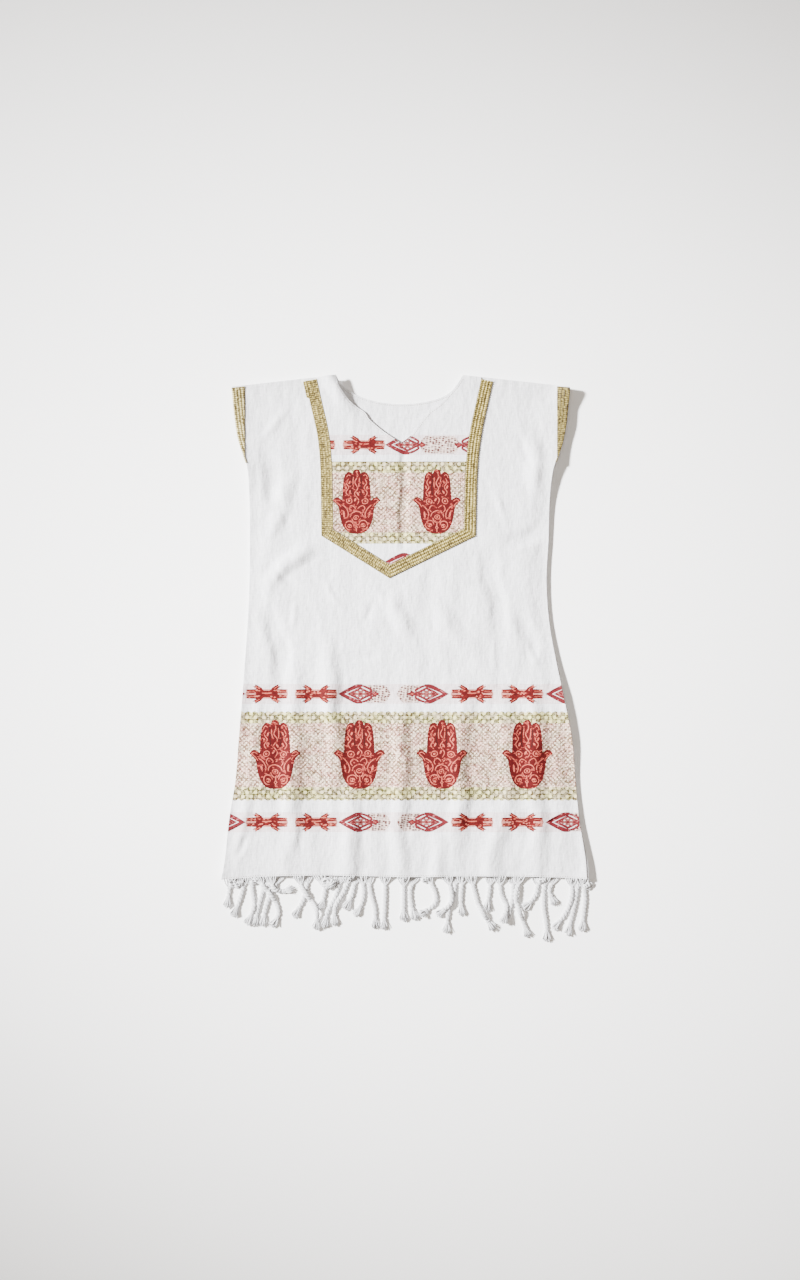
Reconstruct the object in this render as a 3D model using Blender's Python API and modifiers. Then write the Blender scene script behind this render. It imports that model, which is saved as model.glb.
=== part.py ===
"""A child's jebba of white cotton, laid flat on a surface with its front up.

A front and a back panel are sewn at the shoulders and down the sides. A plastron of the same
border cloth lies on the chest inside a band of gold braid, gold braid edges both armholes, and
the warp ends of both hems are twisted into a fringe.
X runs to the right of the garment as it lies, Y toward the neck and Z up from the surface.
Sizes are in millimetres until a mesh is made from them.
"""

import bisect
import functools
import math
from collections import namedtuple

import bmesh
import bpy

MM = 0.001

# Walls of the pieces, and the gap that each keeps to the next
CLOTH = 1.2
PLASTRON_CLOTH = 1.0
BRAID_WALL = 1.6
SEAM_GAP = 0.3
LAYER_GAP = 0.4

# The garment laid flat
NECK_LEFT = (-103.0, 424.5)
NECK_RIGHT = (87.0, 424.5)
NECK_TIP = (-6.0, 323.0)
CAP_LEFT = (-258.8, 407.0)
CAP_RIGHT = (246.0, 407.0)
UNDERARM = 300.0
YOKE_LINE = 262.0
# The back shows past the front below this height, more and more over the run
BACK_SLIP = 3.0
BACK_SLIP_TOP = -235.0
BACK_SLIP_RUN = 80.0

# How the cloth lies: a rise toward each seam, and the air between the two panels
SHOULDER_LIFT = 5.0
SHOULDER_MARGIN = 48.0
SHOULDER_FADE = 70.0
SEAM_FADE = 11.0
PUFF = 1.9
ARMHOLE_PUFF = 1.5
ARM_BLEND = 26.0
ARM_MARGIN = 40.0
SIDE_ROLL = 1.4
ROLL_WIDTH = 34.0
STIFF_MARGIN = 3.0
STIFF_FADE = 26.0

# Trimmings
BRAID_WIDTH = 18.0
FOLDED_END = 27.0
FOLDED_EXTRA = 3.5
CUFF_WIDTH = 17.5
CUFF_TAPER = 72.0
CUFF_END_GAP = 1.5
FRINGE_STRIP = 4.0
STRIP_END_GAP = 1.5

# One row for each height of the side edges, with the seam's lift and how far in it is felt
Side = namedtuple("Side", "y left right lift margin")
SIDES = [
    Side(-331, -275.0, 272.0, 2.6, 32),
    Side(-300, -269.5, 270.0, 2.6, 32),
    Side(-242, -263.5, 261.0, 2.6, 32),
    Side(-182, -254.0, 255.0, 2.4, 32),
    Side(-122, -249.0, 250.0, 2.2, 30),
    Side(-62, -243.8, 238.5, 2.0, 30),
    Side(-2, -239.5, 225.8, 1.8, 30),
    Side(58, -235.5, 215.5, 1.8, 30),
    Side(118, -232.8, 211.8, 1.8, 30),
    Side(178, -232.5, 214.8, 2.0, 32),
    Side(238, -232.8, 216.5, 3.2, 40),
    Side(283, -235.5, 219.5, 5.0, 58),
    Side(305, -241.5, 225.5, 5.8, 68),
    Side(328, -249.0, 234.5, 6.0, 70),
    Side(358, -254.3, 241.5, 6.0, 70),
    Side(407, -258.8, 246.0, 6.0, 70),
]

# The lines that end the panels, each read from left to right
Point = namedtuple("Point", "x y")
HEM = [
    Point(-275, -331),
    Point(-200, -326),
    Point(-100, -325),
    Point(0, -327),
    Point(100, -326),
    Point(200, -327),
    Point(275, -330),
]
FRONT_NECK_LEFT = [
    Point(*NECK_LEFT),
    Point(-99, 411),
    Point(-80, 387),
    Point(-56, 366),
    Point(-35, 344),
    Point(*NECK_TIP),
]
FRONT_NECK_RIGHT = [
    Point(*NECK_TIP),
    Point(9, 335),
    Point(34, 367),
    Point(52, 381),
    Point(68, 398),
    Point(80, 412),
    Point(*NECK_RIGHT),
]
BACK_NECK = [
    Point(*NECK_LEFT),
    Point(-90, 410),
    Point(-70, 395),
    Point(-50, 387),
    Point(0, 381.5),
    Point(44, 388),
    Point(70, 401),
    Point(*NECK_RIGHT),
]

# The folds of the front, each through three places: a ridge stands up, a trough dips
Fold = namedtuple("Fold", "start middle end height width")
FOLDS = [
    Fold((-221, 325), (-210, 262), (-195, 200), -1.5, 17),
    Fold((-160, 295), (-187, 228), (-212, 185), 1.8, 18),
    Fold((-120, 175), (-195, 133), (-222, 88), 1.3, 17),
    Fold((-220, 95), (-193, 35), (-177, -36), -1.5, 17),
    Fold((-20, 112), (-12, 68), (14, 32), 1.4, 17),
    Fold((34, 92), (72, 42), (110, 4), 1.1, 18),
    Fold((118, 178), (135, 92), (150, 0), -1.5, 17),
    Fold((163, 92), (183, 32), (196, 0), -1.3, 16),
    Fold((212, 222), (192, 186), (134, 177), -1.6, 16),
    Fold((178, 352), (196, 288), (208, 224), 1.3, 18),
    Fold((-112, 40), (-109, -8), (-88, -42), -1.0, 17),
    Fold((-162, -212), (-163, -262), (-162, -312), -0.9, 16),
    Fold((-3, -205), (-1, -265), (0, -318), -0.9, 16),
]
# The slack neck edge, which stands off the back together with the plastron on it
NECK_LIFT = Fold((-135, 465), (-72, 380), (15, 295), 2.6, 60)

# Middle lines of the two straps of braid beside the plastron, and the point where they meet
Strap = namedtuple("Strap", "y left right")
STRAPS = [
    Strap(189.0, -116.5, 97.0),
    Strap(285.0, -118.0, 100.0),
    Strap(335.0, -122.5, 105.5),
    Strap(385.0, -133.5, 116.0),
    Strap(416.5, -140.5, 123.0),
]
BRAID_TIP = (-23.0, 130.5)
BRAID_STEP = 15.0

# Fringe strands, each led from its root in the hem to its tuft
Station = namedtuple("Station", "s x y")
Ring = namedtuple("Ring", "x y z radius")
FRONT_STRANDS = [
    [(-262, -328), (-264, -350), (-267, -374)],
    [(-243, -328), (-243, -344), (-249, -365), (-258, -388)],
    [(-232, -328), (-229, -347), (-227, -374), (-238, -400)],
    [(-222, -328), (-210, -344), (-194, -365), (-190, -384), (-200, -403)],
    [(-201, -328), (-198, -343), (-186, -349), (-166, -345)],
    [(-160, -328), (-156, -341), (-144, -359), (-132, -379), (-134, -407)],
    [(-129, -328), (-124, -338), (-114, -341), (-104, -336)],
    [(-83, -328), (-92, -350), (-104, -371), (-106, -401)],
    [(-65, -328), (-62, -350), (-66, -370), (-76, -386)],
    [(-30, -328), (-30, -356), (-32, -407)],
    [(-2, -328), (-2, -362), (-2, -395)],
    [(33, -328), (44, -347), (46, -365), (34, -377), (22, -385)],
    [(63, -328), (69, -349), (69, -365), (56, -379), (47, -386)],
    [(87, -328), (84, -356), (85, -386)],
    [(99, -328), (105, -352), (112, -374), (134, -407)],
    [(142, -328), (144, -352), (152, -373), (146, -397)],
    [(172, -328), (166, -359), (174, -386), (186, -418)],
    [(210, -329), (208, -370), (212, -400), (213, -424.5)],
    [(249, -331), (250, -356), (242, -380), (222, -407)],
    [(266, -331), (270, -356), (268, -382), (265, -410)],
]
BACK_STRANDS = [
    [(-212, -328), (-213, -347), (-219, -370), (-226, -401)],
    [(-186, -328), (-200, -350), (-209, -375), (-213, -402)],
    [(-147, -328), (-148, -344), (-154, -365), (-168, -388)],
    [(-116, -328), (-120, -347), (-123, -364), (-129, -377)],
    [(-96, -328), (-104, -356), (-116, -380), (-121, -404)],
    [(-74, -328), (-80, -356), (-90, -377)],
    [(-55, -328), (-51, -353), (-45, -377), (-45, -406)],
    [(15, -328), (8, -347), (10, -371), (16, -392)],
    [(75, -328), (74, -352), (66, -374), (62, -413)],
    [(128, -328), (126, -352), (122, -379)],
    [(161, -328), (162, -352), (158, -374), (150, -391)],
    [(199, -328), (197, -352), (186, -368), (176, -376)],
    [(224, -328), (217, -346), (219, -356), (226, -370)],
    [(260, -329), (256, -362), (249, -392), (244, -416)],
]
ROOT_RADIUS = 1.2
CORD_RADIUS = 3.8
BINDING_RADIUS = 3.0
TUFT_RADIUS = 5.2
ROOT_LENGTH = 9.0
TUFT_LENGTH = 17.0
BINDING_LENGTH = 6.0
CROSSING_CLEARANCE = 0.6
CROSSING_SLOPE = 0.9
RING_TOLERANCE = 0.35

# Grids: shares of the width where a column must stand, and the columns between them
MARGIN_COLUMNS = 75.0
FRONT_STEPS = (1, 1, 4, 6, 8, 7, 6, 4, 1, 1)
BACK_STEPS = (1, 1, 4, 2, 6, 5, 2, 4, 1, 1)
LOWER_ROWS = 18
UPPER_ROWS = 14
CUFF_FIRST_ROW = 5
PLASTRON_STEPS = (2, 7, 6, 2)
PLASTRON_ROWS = 13
CUFF_ACROSS = (0.0, 0.5, 1.0)
HEM_STEPS = 26

COTTON_COLOUR = (0.83, 0.83, 0.80, 1.0)
GOLD_COLOUR = (0.43, 0.35, 0.17, 1.0)


def clear_scene():
    """Remove every object that the file holds."""
    for thing in list(bpy.data.objects):
        bpy.data.objects.remove(thing, do_unlink=True)


def make_collection(name):
    """Add a collection to the scene."""
    collection = bpy.data.collections.new(name)
    bpy.context.scene.collection.children.link(collection)
    return collection


def ease(share):
    """Go from 0 to 1 with a level start and end."""
    share = min(1.0, max(0.0, share))
    return share * share * (3.0 - 2.0 * share)


def read_off(rows, key, column, at):
    """Read one column of a table between its rows, on a smooth curve through them."""
    keys = [getattr(row, key) for row in rows]
    values = [getattr(row, column) for row in rows]
    at = min(keys[-1], max(keys[0], at))
    i = min(len(rows) - 2, max(0, bisect.bisect_right(keys, at) - 1))

    def slope(j):
        before, after = max(0, j - 1), min(len(rows) - 1, j + 1)
        return (values[after] - values[before]) / (keys[after] - keys[before])

    span = keys[i + 1] - keys[i]
    s = (at - keys[i]) / span
    start = (1 + 2 * s) * (1 - s) ** 2 * values[i] + s * (1 - s) ** 2 * span * slope(i)
    return start + s * s * (3 - 2 * s) * values[i + 1] + s * s * (s - 1) * span * slope(i + 1)


def side_edges(y):
    """Give the left and right edges of the front at a height."""
    return read_off(SIDES, "y", "left", y), read_off(SIDES, "y", "right", y)


def back_edges(y):
    """Give the edges of the back, which shows past the front at the lower right."""
    left, right = side_edges(y)
    return left, right + BACK_SLIP * ease((BACK_SLIP_TOP - y) / BACK_SLIP_RUN)


def hem_line(x):
    """Give the height of the hem."""
    return read_off(HEM, "x", "y", x)


def shoulder_line(x):
    """Give the height of the shoulder seam, carried straight across the neck."""
    if x < NECK_LEFT[0]:
        share = (x - CAP_LEFT[0]) / (NECK_LEFT[0] - CAP_LEFT[0])
        return CAP_LEFT[1] + share * (NECK_LEFT[1] - CAP_LEFT[1])
    if x > NECK_RIGHT[0]:
        share = (x - NECK_RIGHT[0]) / (CAP_RIGHT[0] - NECK_RIGHT[0])
        return NECK_RIGHT[1] + share * (CAP_RIGHT[1] - NECK_RIGHT[1])
    return NECK_LEFT[1]


def front_top(x):
    """Give the line that ends the front: the shoulders and the V of the neck."""
    if not NECK_LEFT[0] < x < NECK_RIGHT[0]:
        return shoulder_line(x)
    half = FRONT_NECK_LEFT if x < NECK_TIP[0] else FRONT_NECK_RIGHT
    return read_off(half, "x", "y", x)


def back_top(x):
    """Give the line that ends the back: the shoulders and its shallow neck."""
    if not NECK_LEFT[0] < x < NECK_RIGHT[0]:
        return shoulder_line(x)
    return read_off(BACK_NECK, "x", "y", x)


def fold_path(fold, steps=10):
    """List points on the curve through a fold's three places."""
    (ax, ay), (mx, my), (bx, by) = fold.start, fold.middle, fold.end
    cx, cy = 2 * mx - (ax + bx) / 2, 2 * my - (ay + by) / 2
    path = []
    for i in range(steps + 1):
        s = i / steps
        a, c, b = (1 - s) ** 2, 2 * s * (1 - s), s * s
        path.append((a * ax + c * cx + b * bx, a * ay + c * cy + b * by))
    return path


def fold_height(fold, x, y):
    """Give what a fold adds at a place: its full height on its line, fading out all round."""
    path = fold_path(fold)
    nearest, along = fold.width, 0.0
    for i, ((ax, ay), (bx, by)) in enumerate(zip(path, path[1:])):
        length = (bx - ax) ** 2 + (by - ay) ** 2
        share = min(1.0, max(0.0, ((x - ax) * (bx - ax) + (y - ay) * (by - ay)) / length))
        away = math.hypot(x - ax - share * (bx - ax), y - ay - share * (by - ay))
        if away < nearest:
            nearest, along = away, (i + share) / (len(path) - 1)
    across = 0.5 + 0.5 * math.cos(math.pi * nearest / fold.width)
    return fold.height * across * ease(2.5 * along) * ease(2.5 * (1 - along))


def clear_of_braid(x, y):
    """Go from 0 on the plastron and its stiff braid to 1 where the cloth folds freely."""
    left, right = read_off(STRAPS, "y", "left", y), read_off(STRAPS, "y", "right", y)
    corner = STRAPS[0]
    away = max(left - x, x - right)
    for end in (corner.left, corner.right):
        run, rise = end - BRAID_TIP[0], corner.y - BRAID_TIP[1]
        below = (x - BRAID_TIP[0]) * rise - (y - BRAID_TIP[1]) * run
        away = max(away, math.copysign(below, below * run) / math.hypot(run, rise))
    return ease((away - BRAID_WIDTH / 2 - STIFF_MARGIN) / STIFF_FADE)


def side_distance(x, y):
    """Give the distance to the nearer side edge."""
    left, right = side_edges(y)
    return max(0.0, min(x - left, right - x))


def seam_rise(x, y):
    """Give how far the back is raised toward its side and shoulder seams."""
    lift, margin = read_off(SIDES, "y", "lift", y), read_off(SIDES, "y", "margin", y)
    side = lift * max(0.0, 1.0 - side_distance(x, y) / margin) ** 2
    drop = max(0.0, shoulder_line(x) - y)
    shoulder = SHOULDER_LIFT * max(0.0, 1.0 - drop / SHOULDER_MARGIN) ** 2
    return (side**3 + shoulder**3) ** (1 / 3)


def relief(x, y):
    """Give how far the front stands off the back, with its folds."""
    side = side_distance(x, y)
    below_arm = ease((UNDERARM - y) / ARM_BLEND)
    rolled = SIDE_ROLL * ease(side / SEAM_FADE) * (1.0 - ease((side - SEAM_FADE) / ROLL_WIDTH))
    folds = clear_of_braid(x, y) * sum(fold_height(fold, x, y) for fold in FOLDS)
    loose = PUFF + folds + fold_height(NECK_LIFT, x, y) + rolled * below_arm
    edge = below_arm * ease(side / SEAM_FADE) + (1.0 - below_arm)
    arm = (1.0 - below_arm) * (1.0 - ease(side / ARM_MARGIN)) * (ARMHOLE_PUFF - PUFF)
    shoulder = ease((shoulder_line(x) - y) / SHOULDER_FADE)
    return max(0.0, loose + arm) * edge * shoulder


def back_upper(x, y):
    """Give the height of the back's upper face."""
    return CLOTH + seam_rise(x, y)


def back_lower(x, y):
    """Give the height of the back's lower face."""
    return seam_rise(x, y)


def front_lower(x, y):
    """Give the height of the front's lower face."""
    return back_upper(x, y) + LAYER_GAP + relief(x, y)


def on_front(x, y):
    """Give the height at which a piece laid on the front begins."""
    return front_lower(x, y) + CLOTH + LAYER_GAP


def meeting(line, share, edges):
    """Find the height at which a column of the grid meets a line."""
    low, high = -340.0, 430.0
    for _ in range(40):
        y = (low + high) / 2
        left, right = edges(y)
        if y < line(left + share * (right - left)):
            low = y
        else:
            high = y
    return (low + high) / 2


def grid_points(edges, heights, shares):
    """Lay points between two edges, a column for each share and a row for each height in it."""
    columns = []
    for share, ys in zip(shares, heights):
        column = []
        for y in ys:
            left, right = edges(y)
            column.append((left + share * (right - left), y))
        columns.append(column)
    return columns


def spread(stops, steps):
    """Divide each stretch between two stops evenly."""
    shares = []
    for low, high, count in zip(stops, stops[1:], steps):
        shares += [low + (high - low) * i / count for i in range(count)]
    return shares + [stops[-1]]


def sheet_object(name, points, height, wall, collection):
    """Make an open sheet over a grid of points and thicken it, upward if the wall is positive."""
    mesh = bpy.data.meshes.new(name)
    cage = bmesh.new()
    verts = [[cage.verts.new((x * MM, y * MM, height(x, y) * MM)) for x, y in col] for col in points]
    for left, right in zip(verts, verts[1:]):
        for i in range(len(left) - 1):
            cage.faces.new((left[i], right[i], right[i + 1], left[i + 1]))
    cage.to_mesh(mesh)
    cage.free()
    sheet = bpy.data.objects.new(name, mesh)
    collection.objects.link(sheet)
    thicken = sheet.modifiers.new("wall", "SOLIDIFY")
    thicken.thickness = abs(wall) * MM
    thicken.offset = math.copysign(1.0, wall)
    return sheet


def give_material(thing, colour, roughness):
    """Give an object a material of its own."""
    material = bpy.data.materials.new(thing.name + "_finish")
    material.use_nodes = True
    shader = material.node_tree.nodes["Principled BSDF"]
    shader.inputs["Base Color"].default_value = colour
    shader.inputs["Roughness"].default_value = roughness
    shader.inputs["Metallic"].default_value = 0.0
    thing.data.materials.append(material)


def panel_points(edges, top_line, steps):
    """Lay the grid of a panel, with columns at the neck's two ends and at the tip of its V."""
    left, right = edges(NECK_LEFT[1])
    tip_left, tip_right = edges(NECK_TIP[1])
    stops = [
        0.0,
        CUFF_WIDTH / 2 / (right - left),
        CUFF_WIDTH / (right - left),
        MARGIN_COLUMNS / (right - left),
        (NECK_LEFT[0] - left) / (right - left),
        (NECK_TIP[0] - tip_left) / (tip_right - tip_left),
        (NECK_RIGHT[0] - left) / (right - left),
        1.0 - MARGIN_COLUMNS / (right - left),
        1.0 - CUFF_WIDTH / (right - left),
        1.0 - CUFF_WIDTH / 2 / (right - left),
        1.0,
    ]
    shares = spread(stops, steps)
    heights = []
    for share in shares:
        foot, head = meeting(hem_line, share, edges), meeting(top_line, share, edges)
        heights.append(spread([foot, YOKE_LINE, head], [LOWER_ROWS, UPPER_ROWS]))
    return grid_points(edges, heights, shares)


def add_back_panel(collection):
    """Make the back, flat on the surface and raised toward its seams."""
    points = panel_points(back_edges, back_top, BACK_STEPS)
    panel = sheet_object("back_panel", points, back_upper, -CLOTH, collection)
    give_material(panel, COTTON_COLOUR, 0.9)
    return panel


def add_front_panel(collection):
    """Make the front, lying on the back with its largest folds."""
    points = panel_points(side_edges, front_top, FRONT_STEPS)
    panel = sheet_object("front_panel", points, front_lower, CLOTH, collection)
    give_material(panel, COTTON_COLOUR, 0.9)
    return panel


def divide_route(route, step):
    """Divide each straight stretch of a route into equal parts no longer than the step."""
    divided = []
    for (ax, ay), (bx, by) in zip(route, route[1:]):
        count = math.ceil(math.hypot(bx - ax, by - ay) / step)
        divided += [(ax + (bx - ax) * i / count, ay + (by - ay) * i / count) for i in range(count)]
    return divided + [route[-1]]


def offset_route(route, offset):
    """Shift a route sideways with mitred corners; a positive offset is to its left."""
    shifted = []
    for i, (x, y) in enumerate(route):
        before, after = route[max(0, i - 1)], route[min(len(route) - 1, i + 1)]
        ahead = math.atan2(after[1] - y, after[0] - x) if i < len(route) - 1 else None
        behind = math.atan2(y - before[1], x - before[0]) if i else ahead
        ahead = behind if ahead is None else ahead
        half = (ahead - behind + math.pi) % (2 * math.pi) - math.pi
        angle, reach = behind + half / 2 + math.pi / 2, offset / math.cos(half / 2)
        shifted.append((x + reach * math.cos(angle), y + reach * math.sin(angle)))
    return shifted


def braid_route():
    """List the braid's middle line down the left strap, round the point and up the right."""
    low, high = STRAPS[0].y, STRAPS[-1].y
    count = round((high - low) / BRAID_STEP)
    heights = [high + (low - high) * i / count for i in range(count + 1)]
    left = [(read_off(STRAPS, "y", "left", y), y) for y in heights]
    right = [(read_off(STRAPS, "y", "right", y), y) for y in reversed(heights)]
    return left + divide_route([left[-1], BRAID_TIP, right[0]], BRAID_STEP)[1:-1] + right


def add_plastron_braid(collection):
    """Make the band of braid down both sides of the plastron and round its point."""
    lines = [offset_route(braid_route(), BRAID_WIDTH / 2 * side) for side in (1, 0, -1)]
    turned = STRAPS[-1].y - FOLDED_END
    for i, (x, y) in enumerate(lines[2]):
        if x < BRAID_TIP[0] and y > turned:
            lines[2][i] = (x - FOLDED_EXTRA, y)
    braid = sheet_object("plastron_braid", lines, on_front, BRAID_WALL, collection)
    give_material(braid, GOLD_COLOUR, 0.7)
    return braid


def straight_between(rows, at):
    """Read a line of points, given as (place, value) pairs in rising order."""
    places = [place for place, _ in rows]
    i = min(len(rows) - 2, max(0, bisect.bisect_right(places, at) - 1))
    (low, start), (high, end) = rows[i], rows[i + 1]
    return start + (end - start) * (at - low) / (high - low)


@functools.cache
def plastron_outline():
    """Give the plastron's left side, foot and right side, a seam's gap inside the braid."""
    inner = offset_route(braid_route(), BRAID_WIDTH / 2 + SEAM_GAP)
    steps = round((STRAPS[-1].y - STRAPS[0].y) / BRAID_STEP)
    last = len(inner) - 1 - steps
    left = [(y, x) for x, y in reversed(inner[: steps + 1])]
    right = [(y, x) for x, y in inner[last:]]
    return left, inner[steps : last + 1], right


def plastron_edges(y):
    """Give the plastron's side edges at a height."""
    left, _, right = plastron_outline()
    return straight_between(left, y), straight_between(right, y)


def plastron_foot(x):
    """Give the pointed lower edge of the plastron."""
    return straight_between(plastron_outline()[1], x)


def plastron_top(x):
    """End the plastron just short of the neck and shoulder lines."""
    return front_top(x) - SEAM_GAP


def add_plastron(collection):
    """Make the plastron, laid on the front inside the braid."""
    left, right = plastron_edges(NECK_LEFT[1])
    tip_left, tip_right = plastron_edges(NECK_TIP[1])
    stops = [
        0.0,
        (NECK_LEFT[0] - left) / (right - left),
        (NECK_TIP[0] - tip_left) / (tip_right - tip_left),
        (NECK_RIGHT[0] - left) / (right - left),
        1.0,
    ]
    shares = spread(stops, PLASTRON_STEPS)
    heights = []
    for share in shares:
        foot = meeting(plastron_foot, share, plastron_edges)
        head = meeting(plastron_top, share, plastron_edges)
        heights.append(spread([foot, head], [PLASTRON_ROWS]))
    points = grid_points(plastron_edges, heights, shares)
    plastron = sheet_object("plastron", points, on_front, PLASTRON_CLOTH, collection)
    give_material(plastron, COTTON_COLOUR, 0.9)
    return plastron


def cuff_points(side):
    """Lay the grid of a cuff's braid, which narrows as it turns under at the underarm."""
    lines = [[], [], []]
    step = (CAP_LEFT[1] - YOKE_LINE) / UPPER_ROWS
    for i in range(CUFF_FIRST_ROW, UPPER_ROWS + 1):
        y = min(YOKE_LINE + step * i, CAP_LEFT[1] - CUFF_END_GAP)
        width = CUFF_WIDTH * min(1.0, (y - UNDERARM) / CUFF_TAPER)
        edge = side_edges(y)[0] if side < 0 else side_edges(y)[1]
        for line, share in zip(lines, CUFF_ACROSS):
            line.append((edge - side * share * width, y))
    return lines if side < 0 else lines[::-1]


def add_cuff(name, side, lower, collection):
    """Make the braid on one panel's armhole edge, on the front's face or under the back."""

    def under_back(x, y):
        return back_lower(x, y) - LAYER_GAP

    points = cuff_points(side)
    height, wall = (under_back, -BRAID_WALL) if lower else (on_front, BRAID_WALL)
    cuff = sheet_object(name, points, height, wall, collection)
    give_material(cuff, GOLD_COLOUR, 0.7)
    return cuff


def smooth_route(points, step=2.0):
    """Read a strand's route from a smooth curve through its points."""
    lengths = [0.0]
    for (ax, ay), (bx, by) in zip(points, points[1:]):
        lengths.append(lengths[-1] + math.hypot(bx - ax, by - ay))
    stations = [Station(s, x, y) for s, (x, y) in zip(lengths, points)]
    count = round(lengths[-1] / step)
    marks = [lengths[-1] * i / count for i in range(count + 1)]
    return [(read_off(stations, "s", "x", s), read_off(stations, "s", "y", s)) for s in marks]


def strand_radius(travelled, length):
    """Give a strand's radius: thin at its root, bound before its tuft and flared at its end."""
    if travelled < FRINGE_STRIP + ROOT_LENGTH:
        grown = ease((travelled - FRINGE_STRIP) / ROOT_LENGTH)
        return ROOT_RADIUS + (CORD_RADIUS - ROOT_RADIUS) * grown
    left = length - travelled
    if left < TUFT_LENGTH:
        return TUFT_RADIUS + (BINDING_RADIUS - TUFT_RADIUS) * (left / TUFT_LENGTH)
    bound = ease(1 - (left - TUFT_LENGTH) / BINDING_LENGTH)
    return CORD_RADIUS + (BINDING_RADIUS - CORD_RADIUS) * bound


def strand_rings(points, root_height):
    """Lay one strand on the surface, coming down from its root."""
    route = smooth_route(points)
    length = sum(math.dist(a, b) for a, b in zip(route, route[1:]))
    rings, travelled = [], 0.0
    for i, (x, y) in enumerate(route):
        travelled += math.dist(route[i - 1], route[i]) if i else 0.0
        radius = strand_radius(travelled, length)
        resting = radius + SEAM_GAP
        settled = ease((travelled - FRINGE_STRIP) / ROOT_LENGTH)
        height = root_height + (resting - root_height) * settled
        rings.append(Ring(x, y, max(resting, height), radius))
    return rings


def lift_over(rings, others):
    """Raise a strand where it crosses others, and ease it down on both sides."""
    lifted = [ring.z for ring in rings]
    for i, ring in enumerate(rings):
        for other in others:
            reach = ring.radius + other.radius + CROSSING_CLEARANCE
            away = math.hypot(ring.x - other.x, ring.y - other.y)
            if away < reach:
                lifted[i] = max(lifted[i], other.z + math.sqrt(reach**2 - away**2))
    eased = []
    for i, ring in enumerate(rings):
        slopes = [
            lifted[j] - CROSSING_SLOPE * math.hypot(ring.x - near.x, ring.y - near.y)
            for j, near in enumerate(rings)
        ]
        eased.append(ring._replace(z=max(slopes)))
    return eased


def thin_out(rings):
    """Drop the rings that a straight stretch between the others passes through."""
    worst, at = RING_TOLERANCE, None
    first, last = rings[0], rings[-1]
    for i, ring in enumerate(rings[1:-1], start=1):
        share = i / (len(rings) - 1)
        missed = [abs(a + share * (b - a) - c) for a, b, c in zip(first, last, ring)]
        if max(missed) > worst:
            worst, at = max(missed), i
    if at is None:
        return [first, last]
    return thin_out(rings[: at + 1]) + thin_out(rings[at:])[1:]


def strands_mesh(name, strands, collection):
    """Make the strands of one fringe as four-sided cords in one mesh."""
    curve = bpy.data.curves.new(name, "CURVE")
    curve.dimensions = "3D"
    curve.twist_mode = "Z_UP"
    curve.bevel_depth = MM
    curve.bevel_resolution = 0
    curve.use_fill_caps = True
    for rings in strands:
        spline = curve.splines.new("POLY")
        spline.points.add(len(rings) - 1)
        for point, ring in zip(spline.points, rings):
            point.co = (ring.x * MM, ring.y * MM, ring.z * MM, 1.0)
            point.radius = ring.radius
    guide = bpy.data.objects.new(name, curve)
    collection.objects.link(guide)
    bpy.context.view_layer.update()
    depsgraph = bpy.context.evaluated_depsgraph_get()
    mesh = bpy.data.meshes.new_from_object(guide.evaluated_get(depsgraph))
    matrix = guide.matrix_world.copy()
    bpy.data.objects.remove(guide)
    welded = bmesh.new()
    welded.from_mesh(mesh)
    bmesh.ops.remove_doubles(welded, verts=welded.verts, dist=0.01 * MM)
    bmesh.ops.recalc_face_normals(welded, faces=welded.faces)
    welded.to_mesh(mesh)
    welded.free()
    cords = bpy.data.objects.new(name, mesh)
    cords.matrix_world = matrix
    cords.hide_render = True
    cords.display_type = "WIRE"
    collection.objects.link(cords)
    return cords


def add_fringe(name, edges, strip_height, wall, strands, collection, cutters):
    """Make a fringe: a narrow strip along a hem, with the strands rooted in it."""
    left, right = edges(HEM[0].y)
    points = []
    for x in spread([left + STRIP_END_GAP, right - STRIP_END_GAP], [HEM_STEPS]):
        y = hem_line(x) - SEAM_GAP
        points.append([(x, y - FRINGE_STRIP), (x, y)])
    strip = sheet_object(name, points, strip_height, wall, collection)
    cords = strands_mesh(name + "_cords", [thin_out(rings) for rings in strands], cutters)
    union = strip.modifiers.new("cords", "BOOLEAN")
    union.operation = "UNION"
    union.solver = "EXACT"
    union.object = cords
    give_material(strip, COTTON_COLOUR, 0.95)
    return strip


def rooted(points):
    """Start a strand in the middle of the strip along the hem."""
    x = points[0][0]
    return [(x, hem_line(x) - SEAM_GAP - FRINGE_STRIP / 2)] + points[1:]


def back_strip(x, y):
    """Give the height of the upper face of the back's strip."""
    return back_upper(x, hem_line(x))


def front_strip(x, y):
    """Give the height of the lower face of the front's strip."""
    return front_lower(x, hem_line(x))


def add_fringes(collection, cutters):
    """Make the back's fringe on the surface, and the front's crossing over it."""
    under, over = [], []
    for points in BACK_STRANDS:
        x = points[0][0]
        under.append(strand_rings(rooted(points), back_lower(x, hem_line(x)) + ROOT_RADIUS + SEAM_GAP))
    others = [ring for rings in under for ring in rings]
    for points in FRONT_STRANDS:
        x = points[0][0]
        rings = strand_rings(rooted(points), front_lower(x, hem_line(x)) + CLOTH / 2)
        over.append(lift_over(rings, others))
    back = add_fringe("fringe_back", back_edges, back_strip, -CLOTH, under, collection, cutters)
    front = add_fringe("fringe_front", side_edges, front_strip, CLOTH, over, collection, cutters)
    return [back, front]


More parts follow.
